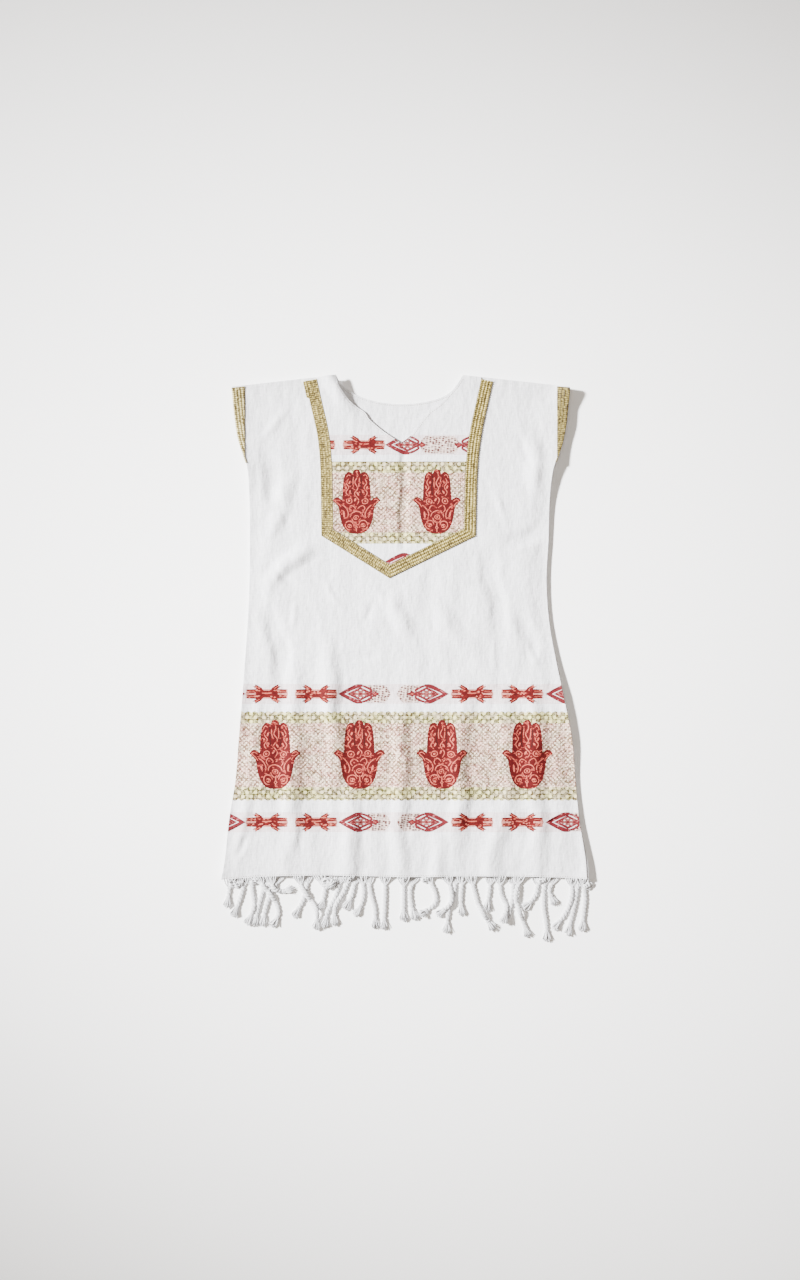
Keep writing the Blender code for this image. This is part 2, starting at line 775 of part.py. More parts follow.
def main():
    """Make the garment."""
    clear_scene()
    garment = make_collection("jebba")
    cutters = make_collection("cutters")
    frame = bpy.data.objects.new("jebba_frame", None)
    garment.objects.link(frame)
    pieces = [add_back_panel(garment), add_front_panel(garment)]
    pieces += [add_plastron(garment), add_plastron_braid(garment)]
    for side, hand in ((-1, "left"), (1, "right")):
        pieces.append(add_cuff("cuff_braid_%s_front" % hand, side, False, garment))
        pieces.append(add_cuff("cuff_braid_%s_back" % hand, side, True, garment))
    pieces += add_fringes(garment, cutters)
    for piece in pieces:
        piece.parent = frame


main()
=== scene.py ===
"""A child's jebba of white cotton, laid flat with its front up.

Two lengths of bordered cloth are sewn at the shoulders and down the sides. The borders are
woven in: red hands on a pale lattice between two rows of stars. Gold braid frames the
plastron and edges the armholes, and the warp ends at the hems are twisted into a fringe.
X runs to the right of the garment as it lies, Y toward the neck and Z up from the floor.
Sizes are in millimetres until a mesh is made from them.
"""

import math
from collections import namedtuple

import bpy
import numpy as np
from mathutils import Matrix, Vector
from mathutils.geometry import delaunay_2d_cdt


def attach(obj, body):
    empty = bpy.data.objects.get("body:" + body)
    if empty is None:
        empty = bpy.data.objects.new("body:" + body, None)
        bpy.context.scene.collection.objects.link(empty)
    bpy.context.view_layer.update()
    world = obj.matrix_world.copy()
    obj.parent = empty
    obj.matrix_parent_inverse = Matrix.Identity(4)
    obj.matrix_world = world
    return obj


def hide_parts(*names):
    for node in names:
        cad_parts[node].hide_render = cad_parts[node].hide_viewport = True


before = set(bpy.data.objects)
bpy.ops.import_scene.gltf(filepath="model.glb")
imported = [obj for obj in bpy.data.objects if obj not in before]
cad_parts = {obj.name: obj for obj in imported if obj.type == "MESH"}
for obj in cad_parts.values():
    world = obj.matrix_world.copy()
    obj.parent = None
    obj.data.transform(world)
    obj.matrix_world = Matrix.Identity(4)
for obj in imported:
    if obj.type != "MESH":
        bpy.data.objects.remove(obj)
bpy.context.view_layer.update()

MM = 0.001
Point = namedtuple("Point", "x y")

# Walls of the cloth and braid, and the air between the layers
CLOTH = 1.2
PLASTRON_CLOTH = 1.0
BRAID_WALL = 1.6
SEAM_GAP = 0.3
LAYER_GAP = 0.4
SHELL_WALL = 0.6

# The garment laid flat
NECK_LEFT = Point(-103.0, 424.5)
NECK_RIGHT = Point(87.0, 424.5)
NECK_TIP = Point(-6.0, 323.0)
CAP_LEFT = Point(-258.8, 407.0)
CAP_RIGHT = Point(246.0, 407.0)
UNDERARM = 300.0
BACK_SLIP = 3.0
BACK_SLIP_TOP = -235.0
BACK_SLIP_RUN = 80.0

# How the cloth lies: a rise toward each seam, and the air between the two panels
SHOULDER_LIFT = 5.0
SHOULDER_MARGIN = 48.0
SHOULDER_FADE = 70.0
SEAM_FADE = 30.0
PUFF = 2.9
ARMHOLE_PUFF = 1.5
ARM_BLEND = 26.0
ARM_MARGIN = 40.0
SIDE_ROLL = 0.5
ROLL_WIDTH = 34.0
STIFF_MARGIN = 3.0
STIFF_FADE = 26.0

# One row for each height of the side edges, with the seam's lift and how far in it is felt
Side = namedtuple("Side", "y left right lift margin")
SIDES = [
    Side(-331, -275.0, 272.0, 7.2, 36),
    Side(-300, -269.5, 270.0, 5.6, 36),
    Side(-242, -263.5, 261.0, 3.2, 34),
    Side(-182, -254.0, 255.0, 2.4, 32),
    Side(-122, -249.0, 250.0, 5.4, 36),
    Side(-62, -243.8, 238.5, 6.2, 38),
    Side(-2, -239.5, 225.8, 3.2, 32),
    Side(58, -235.5, 215.5, 1.8, 30),
    Side(118, -232.8, 211.8, 1.8, 30),
    Side(178, -232.5, 214.8, 2.0, 32),
    Side(238, -232.8, 216.5, 3.6, 42),
    Side(283, -235.5, 221.5, 7.2, 62),
    Side(305, -241.5, 229.5, 4.6, 68),
    Side(328, -249.0, 236.5, 3.9, 70),
    Side(358, -253.8, 241.5, 5.0, 70),
    Side(407, -258.8, 246.0, 6.0, 70),
]

# The lines that end the panels, each read from left to right
HEM = [
    Point(-275, -331),
    Point(-200, -326),
    Point(-100, -325),
    Point(0, -327),
    Point(100, -326),
    Point(200, -327),
    Point(275, -330),
]
FRONT_NECK_LEFT = [
    NECK_LEFT,
    Point(-100, 411),
    Point(-95.5, 403),
    Point(-84.5, 388),
    Point(-71, 376.5),
    Point(-60, 369),
    Point(-54.5, 360),
    Point(-45, 351),
    Point(-30, 339),
    NECK_TIP,
]
FRONT_NECK_RIGHT = [
    NECK_TIP,
    Point(9, 335),
    Point(34, 367),
    Point(52, 381),
    Point(68, 398),
    Point(80, 412),
    NECK_RIGHT,
]
BACK_NECK = [
    NECK_LEFT,
    Point(-97.5, 413),
    Point(-90, 405.5),
    Point(-81.5, 400),
    Point(-73, 395),
    Point(-51, 387.5),
    Point(-32, 383.5),
    Point(0, 381.5),
    Point(44, 388),
    Point(70, 401),
    NECK_RIGHT,
]

# The largest folds of the front, each through three places: a ridge stands up, a trough dips
Fold = namedtuple("Fold", "start middle end height width")
FOLDS = [
    Fold((-206, 335), (-198, 262), (-183, 195), -5.0, 19),
    Fold((-160, 300), (-187, 228), (-214, 178), 5.4, 21),
    Fold((-196, 232), (-204, 210), (-222, 172), -2.2, 16),
    Fold((-118, 180), (-180, 140), (-222, 84), 5.0, 20),
    Fold((-196, 152), (-205, 118), (-226, 78), -2.2, 16),
    Fold((-220, 98), (-190, 20), (-176, -80), -4.8, 20),
    Fold((-20, 116), (-12, 68), (16, 28), 4.2, 19),
    Fold((34, 96), (72, 42), (114, 0), 3.2, 20),
    Fold((118, 182), (135, 92), (150, -6), -4.2, 20),
    Fold((163, 96), (183, 32), (198, -4), -4.0, 18),
    Fold((212, 224), (192, 186), (130, 176), -4.4, 16),
    Fold((178, 356), (196, 288), (209, 220), 4.4, 20),
    Fold((-160, 40), (-170, -170), (-176, -420), 5.8, 23),
    Fold((-130, 70), (-109, -70), (-108, -250), 5.4, 21),
    Fold((-68, -140), (-82, -270), (-94, -420), 4.8, 22),
    Fold((-1, 10), (-7, -190), (-14, -440), 5.0, 20),
    Fold((94, 10), (81, -190), (74, -360), 5.4, 22),
    Fold((60, -240), (50, -300), (42, -410), 3.8, 20),
    Fold((143, 0), (154, -150), (152, -270), 4.8, 22),
    Fold((142, -210), (133, -290), (122, -430), 4.8, 23),
    Fold((190, 20), (198, -170), (196, -440), 5.0, 22),
    Fold((-216, 10), (-242, -200), (-272, -400), 3.4, 20),
]
NECK_LIFT = Fold((-135, 465), (-72, 380), (15, 295), 1.0, 60)
NECK_PRESS = Fold((-90, 408), (-52, 366), (-4, 318), -2.4, 34)
NECK_EDGE = Fold((-112, 432), (-60, 370), (8, 311), 1.0, 18)
CORNER_LIFT = Fold((-138, 456), (-109, 417), (-76, 368), 8.5, 19)
CAP_LIFT = Fold((272, 428), (250, 408), (238, 372), 4.6, 34)

# Finer creases, pressed in while the garment was folded away
CREASES = [
    Fold((-120, 121), (-110, 95), (-86, 70), 1.3, 8),
    Fold((-162, 91), (-166, 66), (-165, 40), 1.2, 8),
    Fold((-35, 106), (-34, 90), (-30, 70), 1.2, 8),
    Fold((-45, 91), (-52, 72), (-60, 50), -1.2, 8),
    Fold((131, 256), (144, 224), (155, 190), 1.3, 8),
    Fold((165, 346), (180, 310), (191, 275), -1.3, 9),
    Fold((116, 400), (102, 390), (86, 376), 1.2, 8),
    Fold((-165, 391), (-195, 352), (-221, 320), 1.4, 10),
    Fold((-236, -256), (-245, -282), (-257, -304), -2.8, 9),
    Fold((-155, -246), (-156, -268), (-160, -296), -1.5, 9),
    Fold((132, 40), (133, 5), (134, -32), 1.2, 8),
    Fold((180, 31), (190, 6), (200, -20), 1.3, 8),
    Fold((-205, 150), (-180, 120), (-150, 104), -1.2, 9),
    Fold((60, 130), (92, 118), (120, 124), 1.0, 10),
    Fold((-100, 10), (-60, 2), (-30, 12), -0.9, 10),
]
PLASTRON_CREASE = Fold((4, 340), (-2, 240), (2, 140), -3.6, 10)

# The cloth is pressed thinner along the neck's left edge, and the plastron sways less
FRONT_PRESSED = 0.6
PLASTRON_PRESSED = 0.7
PLASTRON_SWAY = 0.6

# The share of a fold's length over which it fades out at each end, and the steps its line takes
FOLD_FADE = 0.4
FOLD_STEPS = 10

# Waves in the cloth. Across and up are a wave's lengths over two pi, and start is its phase.
# The upright and the slanting ones come and go, each in places of its own
Wave = namedtuple("Wave", "height across up start")
SWAY = [Wave(2.6, 60, 23, 0.0), Wave(1.6, -47, 11, 0.0)]
MEAN_SWELL = 0.86
SWELL = [Wave(0.14, 41, 29, 0.0)]
BEND = [Wave(9.0, 140, 58, 0.0), Wave(5.0, math.inf, 31, 1.0)]
UPRIGHT = [Wave(0.7, 8.5, math.inf, 0.0)]
UPRIGHT_PLACES = [Wave(0.5, 71, 90, 0.0)]
SLANTING = [Wave(0.6, 26, 13, 2.0)]
SLANTING_PLACES = [Wave(0.5, 53, -77, 1.0)]

# Middle lines of the two straps of braid beside the plastron, and the point where they meet
Strap = namedtuple("Strap", "y left right")
STRAPS = [
    Strap(189.0, -116.5, 97.0),
    Strap(285.0, -118.0, 100.0),
    Strap(335.0, -122.5, 105.5),
    Strap(385.0, -133.5, 116.0),
    Strap(416.5, -140.5, 123.0),
]
BRAID_TIP = Point(-23.0, 130.5)
BRAID_WIDTH = 18.0
FOLDED_END = 27.0
FOLDED_EXTRA = 3.5
CUFF_LEFT_LINE = -238.8
CUFF_RIGHT_LINE = 226.5
CUFF_FOOT = 293.0
CUFF_LEAST = 1.6
CUFF_END_GAP = 1.0
CUFF_OVERHANG = 1.0

# Fringe strands, each led from its root in the hem to its tuft
FRONT_STRANDS = [
    [(-262, -328), (-264, -350), (-267, -374)],
    [(-243, -328), (-243, -344), (-249, -365), (-258, -388)],
    [(-232, -328), (-229, -347), (-227, -374), (-238, -400)],
    [(-222, -328), (-210, -344), (-194, -365), (-190, -384), (-200, -403)],
    [(-201, -328), (-198, -343), (-186, -349), (-166, -345)],
    [(-160, -328), (-156, -341), (-144, -359), (-132, -379), (-134, -407)],
    [(-129, -328), (-124, -338), (-114, -341), (-104, -336)],
    [(-83, -328), (-92, -350), (-104, -371), (-106, -401)],
    [(-65, -328), (-62, -350), (-66, -370), (-76, -386)],
    [(-30, -328), (-30, -356), (-32, -407)],
    [(-2, -328), (-2, -362), (-2, -395)],
    [(33, -328), (44, -347), (46, -365), (34, -377), (22, -385)],
    [(63, -328), (69, -349), (69, -365), (56, -379), (47, -386)],
    [(87, -328), (84, -356), (85, -386)],
    [(99, -328), (105, -352), (112, -374), (134, -407)],
    [(142, -328), (144, -352), (152, -373), (146, -397)],
    [(172, -328), (166, -359), (174, -386), (186, -418)],
    [(210, -329), (208, -370), (212, -400), (213, -424.5)],
    [(249, -331), (250, -356), (242, -380), (222, -407)],
    [(266, -331), (270, -356), (268, -382), (265, -410)],
]
BACK_STRANDS = [
    [(-212, -328), (-213, -347), (-219, -370), (-226, -401)],
    [(-186, -328), (-200, -350), (-209, -375), (-213, -402)],
    [(-147, -328), (-148, -344), (-154, -365), (-168, -388)],
    [(-116, -328), (-120, -347), (-123, -364), (-129, -377)],
    [(-96, -328), (-104, -356), (-116, -380), (-121, -404)],
    [(-74, -328), (-80, -356), (-90, -377)],
    [(-55, -328), (-51, -353), (-45, -377), (-45, -406)],
    [(15, -328), (8, -347), (10, -371), (16, -392)],
    [(75, -328), (74, -352), (66, -374), (62, -413)],
    [(128, -328), (126, -352), (122, -379)],
    [(161, -328), (162, -352), (158, -374), (150, -391)],
    [(199, -328), (197, -352), (186, -368), (176, -376)],
    [(224, -328), (217, -346), (219, -356), (226, -370)],
    [(260, -329), (256, -362), (249, -392), (244, -416)],
]
FRINGE_STRIP = 4.0
ROOT_RADIUS = 1.2
CORD_RADIUS = 3.8
BINDING_RADIUS = 3.0
TUFT_RADIUS = 6.0
ROOT_LENGTH = 9.0
TUFT_LENGTH = 17.0
BINDING_LENGTH = 6.0
CROSSING_CLEARANCE = 0.6
CROSSING_SLOPE = 0.9

# The woven borders of one length of cloth: their heights above the hem's datum and what they hold
UPPER_STARS = -53.0
LOWER_STARS = -245.0
STAR_BAND = 30.0
LATTICE_TOP = -80.0
LATTICE_FOOT = -212.0
OLIVE_TOP_ROW = 17.0
OLIVE_FOOT_ROW = 19.5
HAND_FOOT = -195.5
HANDS = (-194.5, -68.5, 55.5, 183.0)
STARS = (-207.0, -133.0, 100.5, 175.5)
DIAMOND_TIPS_LEFT = (-100.5, 210.0)
DIAMOND_TIPS_RIGHT = (-238.5, 66.0)
DASHED_PATCHES = ((-44.0, 23.0), (9.5, 22.0), (262.0, 23.0))

# The same borders on the plastron, which was cut from another place in the cloth
PLASTRON_STARS = 320.0
PLASTRON_STAR_CENTRES = (-61.5, -136.0)
PLASTRON_TIP_LEFT = -30.0
PLASTRON_TIP_RIGHT = 136.0
PLASTRON_PATCH = 52.0
PLASTRON_PATCH_REACH = 31.0
PLASTRON_LATTICE_TOP = 295.0
PLASTRON_LATTICE_FOOT = 172.0
PLASTRON_HAND_FOOT = 186.5
PLASTRON_HANDS = (-72.5, 48.0)
PLASTRON_HAND_SIZE = 0.935
PLASTRON_FOOT_STARS = 143.5
PLASTRON_FOOT_TIP = -33.0


def ease(share):
    """Go from 0 to 1 with a level start and end."""
    share = np.clip(share, 0.0, 1.0)
    return share * share * (3.0 - 2.0 * share)


def read_off(rows, key, column, at):
    """Read one column of a table between its rows, on a smooth curve through them."""
    keys = np.array([getattr(row, key) for row in rows], float)
    values = np.array([getattr(row, column) for row in rows], float)
    order = np.arange(len(rows))
    before = np.maximum(order - 1, 0)
    after = np.minimum(order + 1, len(rows) - 1)
    slopes = (values[after] - values[before]) / (keys[after] - keys[before])
    at = np.clip(at, keys[0], keys[-1])
    i = np.clip(np.searchsorted(keys, at, side="right") - 1, 0, len(rows) - 2)
    span = keys[i + 1] - keys[i]
    s = (at - keys[i]) / span
    start = (1 + 2 * s) * (1 - s) ** 2 * values[i] + s * (1 - s) ** 2 * span * slopes[i]
    end = s * s * (3 - 2 * s) * values[i + 1] + s * s * (s - 1) * span * slopes[i + 1]
    return start + end


def side_edges(y):
    """Give the left and right edges of the front at a height."""
    return read_off(SIDES, "y", "left", y), read_off(SIDES, "y", "right", y)


def back_edges(y):
    """Give the edges of the back, which shows past the front at the lower right."""
    left, right = side_edges(y)
    return left, right + BACK_SLIP * ease((BACK_SLIP_TOP - y) / BACK_SLIP_RUN)


def hem_line(x):
    """Give the height of the hem."""
    return read_off(HEM, "x", "y", x)


def shoulder_line(x):
    """Give the height of the shoulder seam, carried straight across the neck."""
    places = [CAP_LEFT.x, NECK_LEFT.x, NECK_RIGHT.x, CAP_RIGHT.x]
    return np.interp(x, places, [CAP_LEFT.y, NECK_LEFT.y, NECK_RIGHT.y, CAP_RIGHT.y])


def front_top(x):
    """Give the line that ends the front: the shoulders and the V of the neck."""
    left = read_off(FRONT_NECK_LEFT, "x", "y", x)
    right = read_off(FRONT_NECK_RIGHT, "x", "y", x)
    in_neck = (x > NECK_LEFT.x) & (x < NECK_RIGHT.x)
    return np.where(in_neck, np.where(x < NECK_TIP.x, left, right), shoulder_line(x))


def back_top(x):
    """Give the line that ends the back: the shoulders and its shallow neck."""
    in_neck = (x > NECK_LEFT.x) & (x < NECK_RIGHT.x)
    return np.where(in_neck, read_off(BACK_NECK, "x", "y", x), shoulder_line(x))


def fold_path(fold):
    """List points on the curve through a fold's three places."""
    start, middle, end = (np.array(place, float) for place in fold[:3])
    control = 2 * middle - (start + end) / 2
    s = np.linspace(0.0, 1.0, FOLD_STEPS + 1)[:, None]
    return (1 - s) ** 2 * start + 2 * s * (1 - s) * control + s * s * end


def fold_height(fold, x, y):
    """Give what a fold adds at a place: its full height on its line, fading out all round."""
    path = fold_path(fold)
    nearest = np.full(np.shape(x), float(fold.width))
    along = np.zeros(np.shape(x))
    for i, ((ax, ay), (bx, by)) in enumerate(zip(path, path[1:])):
        length = (bx - ax) ** 2 + (by - ay) ** 2
        share = np.clip(((x - ax) * (bx - ax) + (y - ay) * (by - ay)) / length, 0.0, 1.0)
        away = np.hypot(x - ax - share * (bx - ax), y - ay - share * (by - ay))
        closer = away < nearest
        nearest = np.where(closer, away, nearest)
        along = np.where(closer, (i + share) / (len(path) - 1), along)
    across = 0.5 + 0.5 * np.cos(math.pi * nearest / fold.width)
    return fold.height * across * ease(along / FOLD_FADE) * ease((1 - along) / FOLD_FADE)


def clear_of_braid(x, y):
    """Go from 0 on the plastron and its stiff braid to 1 where the cloth folds freely."""
    left, right = read_off(STRAPS, "y", "left", y), read_off(STRAPS, "y", "right", y)
    corner = STRAPS[0]
    away = np.maximum(left - x, x - right)
    for end in (corner.left, corner.right):
        run, rise = end - BRAID_TIP.x, corner.y - BRAID_TIP.y
        below = (x - BRAID_TIP.x) * rise - (y - BRAID_TIP.y) * run
        away = np.maximum(away, math.copysign(1.0, run) * below / math.hypot(run, rise))
    return ease((away - BRAID_WIDTH / 2 - STIFF_MARGIN) / STIFF_FADE)


def side_distance(x, y):
    """Give the distance to the nearer side edge."""
    left, right = side_edges(y)
    return np.maximum(0.0, np.minimum(x - left, right - x))


def seam_rise(x, y):
    """Give how far the back is raised toward its side and shoulder seams."""
    lift, margin = read_off(SIDES, "y", "lift", y), read_off(SIDES, "y", "margin", y)
    side = lift * np.maximum(0.0, 1.0 - side_distance(x, y) / margin) ** 2
    drop = np.maximum(0.0, shoulder_line(x) - y)
    shoulder = SHOULDER_LIFT * np.maximum(0.0, 1.0 - drop / SHOULDER_MARGIN) ** 2
    return (side**3 + shoulder**3) ** (1 / 3)


# The height over which a trough is eased out where it comes down to the back
SOFTNESS = 0.5


def soft_floor(height):
    """Keep a height above zero, easing out at the back."""
    return (height + np.sqrt(height**2 + SOFTNESS**2)) / 2


def waves(rows, x, y):
    """Add up waves that run across the cloth."""
    return sum(row.height * np.sin(x / row.across + y / row.up + row.start) for row in rows)


def crumple(x, y):
    """Give the slight unevenness of washed cotton: short waves that come and go."""
    bend = waves(BEND, x, y)
    upright = waves(UPRIGHT, x + bend, y) * (0.5 + waves(UPRIGHT_PLACES, x, y))
    slanting = waves(SLANTING, x, y + bend) * (0.5 + waves(SLANTING_PLACES, x, y))
    return upright + slanting


def relief(x, y):
    """Give how far the front stands off the back, with its folds and creases."""
    side = side_distance(x, y)
    below_arm = ease((UNDERARM - y) / ARM_BLEND)
    rolled = SIDE_ROLL * ease(side / SEAM_FADE) * (1.0 - ease((side - SEAM_FADE) / ROLL_WIDTH))
    sway = waves(SWAY, x, y)
    swell = MEAN_SWELL + waves(SWELL, x, y)
    free = swell * sum(fold_height(fold, x + sway, y) for fold in FOLDS)
    free = free + sum(fold_height(fold, x, y) for fold in CREASES) + crumple(x, y)
    stiff = sum(fold_height(fold, x, y) for fold in (NECK_LIFT, NECK_PRESS))
    stiff = stiff + fold_height(PLASTRON_CREASE, x + PLASTRON_SWAY * sway, y)
    loose = PUFF + clear_of_braid(x, y) * free + stiff + rolled * below_arm
    edge = below_arm * ease(side / SEAM_FADE) + (1.0 - below_arm)
    arm = (1.0 - below_arm) * (1.0 - ease(side / ARM_MARGIN)) * (ARMHOLE_PUFF - PUFF)
    shoulder = ease((shoulder_line(x) - y) / SHOULDER_FADE)
    return soft_floor(loose + arm) * edge * shoulder


def back_face(x, y):
    """Give the height of the back's upper face."""
    return CLOTH + seam_rise(x, y) + fold_height(CORNER_LIFT, x, y) + fold_height(CAP_LIFT, x, y)


def front_foot(x, y):
    """Give the height of the front's lower face."""
    return back_face(x, y) + LAYER_GAP + relief(x, y)


def front_face(x, y):
    """Give the height of the front's upper face, pressed thin along the neck's left edge."""
    return front_foot(x, y) + CLOTH - FRONT_PRESSED * fold_height(NECK_EDGE, x, y)


def braid_foot(x, y):
    """Give the height of the lower face of braid that lies on the front."""
    return front_face(x, y) + LAYER_GAP


def plastron_face(x, y):
    """Give the height of the plastron's upper face."""
    thinned = PLASTRON_PRESSED * fold_height(NECK_EDGE, x, y)
    return front_face(x, y) + LAYER_GAP + PLASTRON_CLOTH - thinned


def under_back(x, y):
    """Give the height of the upper face of what is sewn under the back's armhole."""
    return back_face(x, y) - CLOTH - LAYER_GAP


# How many steps a smooth line takes from each of its points to the next
CURVE_STEPS = 6


def curve_through(points):
    """Draw a smooth line through a few points."""
    knots = np.array(points, float)
    last = len(knots) - 1
    s = np.arange(CURVE_STEPS)[:, None] / CURVE_STEPS
    drawn = []
    for i in range(last):
        before, after = knots[max(i - 1, 0)], knots[min(i + 2, last)]
        a, b = knots[i], knots[i + 1]
        bend = (b - before) * s + (2 * before - 5 * a + 4 * b - after) * s**2
        drawn.append(a + (bend + (3 * a - before - 3 * b + after) * s**3) / 2)
    return np.vstack([*drawn, knots[-1:]])


def lengths_along(line):
    """Give how far along a line each of its points lies."""
    steps = np.hypot(*np.diff(line, axis=0).T)
    return np.concatenate([[0.0], np.cumsum(steps)])


def directions(line):
    """Give a line's direction at each of its points, and the direction to its left."""
    ahead = np.gradient(line, axis=0)
    ahead /= np.hypot(*ahead.T)[:, None]
    return ahead, np.column_stack([-ahead[:, 1], ahead[:, 0]])


def resample(points, step):
    """Place points evenly along a line, about a step apart, keeping its two ends."""
    points = np.array(points, float)
    lengths = lengths_along(points)
    marks = np.linspace(0.0, lengths[-1], max(2, round(lengths[-1] / step) + 1))
    return np.column_stack([np.interp(marks, lengths, column) for column in points.T])


def signed_area(shape):
    """Give the area inside a closed line, positive where it runs to the left."""
    x, y = np.array(shape, float).T
    return 0.5 * float(np.sum(x * np.roll(y, -1) - np.roll(x, -1) * y))


def to_linear(code):
    """Turn an sRGB hex colour into linear values."""
    parts = [int(code[i : i + 2], 16) / 255 for i in (1, 3, 5)]
    return [part / 12.92 if part <= 0.04045 else ((part + 0.055) / 1.055) ** 2.4 for part in parts]


def colour(code):
    """Turn an sRGB hex colour into a linear colour with alpha."""
    return (*to_linear(code), 1.0)


def add_node(tree, kind, inputs=(), output=0, **settings):
    """Add a shader node with its settings and its inputs, as values or links. Give one output."""
    node = tree.nodes.new("ShaderNode" + kind)
    for name, value in settings.items():
        setattr(node, name, value)
    named = inputs if isinstance(inputs, dict) else dict(enumerate(inputs))
    for place, value in named.items():
        if isinstance(value, bpy.types.NodeSocket):
            tree.links.new(value, node.inputs[place])
        else:
            node.inputs[place].default_value = value
    return node.outputs[output]


# In a mix of colours, inputs 0, 6 and 7 are the share and the two colours, and output 2 is the mix
MIX = {"output": 2, "data_type": "RGBA"}


def start_material(name, roughness, sheen=0.0, gloss=0.08):
    """Start a material, and give its node tree and the place on the cloth in millimetres."""
    material = bpy.data.materials.new(name)
    material.use_nodes = True
    tree = material.node_tree
    shader = tree.nodes["Principled BSDF"]
    shader.inputs["Roughness"].default_value = roughness
    shader.inputs["Sheen Weight"].default_value = sheen
    shader.inputs["Specular IOR Level"].default_value = gloss
    place = add_node(tree, "TexCoord", output="Object")
    scale = (1 / MM, 1 / MM, 1 / MM)
    return material, tree, add_node(tree, "Mapping", {"Vector": place, "Scale": scale})


def finish_material(material, tint, normal=None):
    """Give a material its colour and its relief."""
    tree = material.node_tree
    shader = tree.nodes["Principled BSDF"]
    tree.links.new(tint, shader.inputs["Base Color"])
    if normal is not None:
        tree.links.new(normal, shader.inputs["Normal"])
    return material


def measured(tree, place, along, across, lean):
    """Measure the cloth in marks of a length along X and a thickness along Y, or leaning."""
    if lean:
        turn = {"Vector": place, "Angle": math.radians(lean)}
        place = add_node(tree, "VectorRotate", turn, rotation_type="Z_AXIS")
    return add_node(tree, "Mapping", {"Vector": place, "Scale": (1 / along, 1 / across, 0.0)})


def streaks(tree, place, along, across, detail=2.0, lean=0.0):
    """Draw noise stretched into threads of a length and a thickness."""
    marks = measured(tree, place, along, across, lean)
    return add_node(tree, "TexNoise", {"Vector": marks, "Scale": 1.0, "Detail": detail}, "Fac")


def cells(tree, place, across, high, looseness=1.0, lean=0.0):
    """Divide the cloth into uneven cells: the way from each middle, and a number of its own."""
    marks = measured(tree, place, across, high, lean)
    inputs = {"Vector": marks, "Scale": 1.0, "Randomness": looseness}
    away = add_node(tree, "TexVoronoi", inputs, "Distance", voronoi_dimensions="2D")
    return away, add_node(tree, "SeparateXYZ", (away.node.outputs["Color"],), "X")


# A handloom cotton has 0.4 mm threads. They are drawn 1.2 mm apart, to show at this size
THREAD = 1.2
SLUB_LENGTH = 14.0
WEAVE_DEPTH = 0.3
COTTON_SHEEN = 0.1

# What washing leaves in the cloth: the size of its waves, and their height beside a thread's
Wash = namedtuple("Wash", "across high detail height")
WASHED = [Wash(5.0, 7.0, 3.0, 2.2), Wash(15.0, 34.0, 2.0, 8.0)]


def weave(tree, place):
    """Make the weave's relief: threads of uneven thickness, in cloth crinkled by washing."""
    warp = streaks(tree, place, THREAD, SLUB_LENGTH)
    weft = streaks(tree, place, SLUB_LENGTH, THREAD)
    threads = add_node(tree, "Math", (warp, weft), operation="ADD")
    height = threads
    for wash in WASHED:
        wave = streaks(tree, place, wash.across, wash.high, wash.detail)
        height = add_node(tree, "Math", (wave, wash.height, height), operation="MULTIPLY_ADD")
    inputs = {"Height": height, "Strength": 0.8, "Distance": WEAVE_DEPTH * MM}
    return threads, add_node(tree, "Bump", inputs)


def cotton_material(name, light, shade):
    """Plain-woven cotton: matt and soft, its uneven threads showing as faint streaks."""
    material, tree, place = start_material(name, 0.92, COTTON_SHEEN)
    threads, normal = weave(tree, place)
    fullness = add_node(tree, "MapRange", (threads, 0.75, 1.25))
    tint = add_node(tree, "Mix", {0: fullness, 6: colour(shade), 7: colour(light)}, **MIX)
    return finish_material(material, tint, normal)


# Marks in the borders, in millimetres: one float, a run of slanting thread, a patch of deeper dye
# and a dash. The rings' radius is a share of their pitch
FLOAT_MARK = (2.7, 2.2)
SLANT_MARK = (15.0, 1.9)
DYE_MARK = (24.0, 16.0)
DASH_MARK = (4.6, 3.2)
RING_RADIUS = 0.43


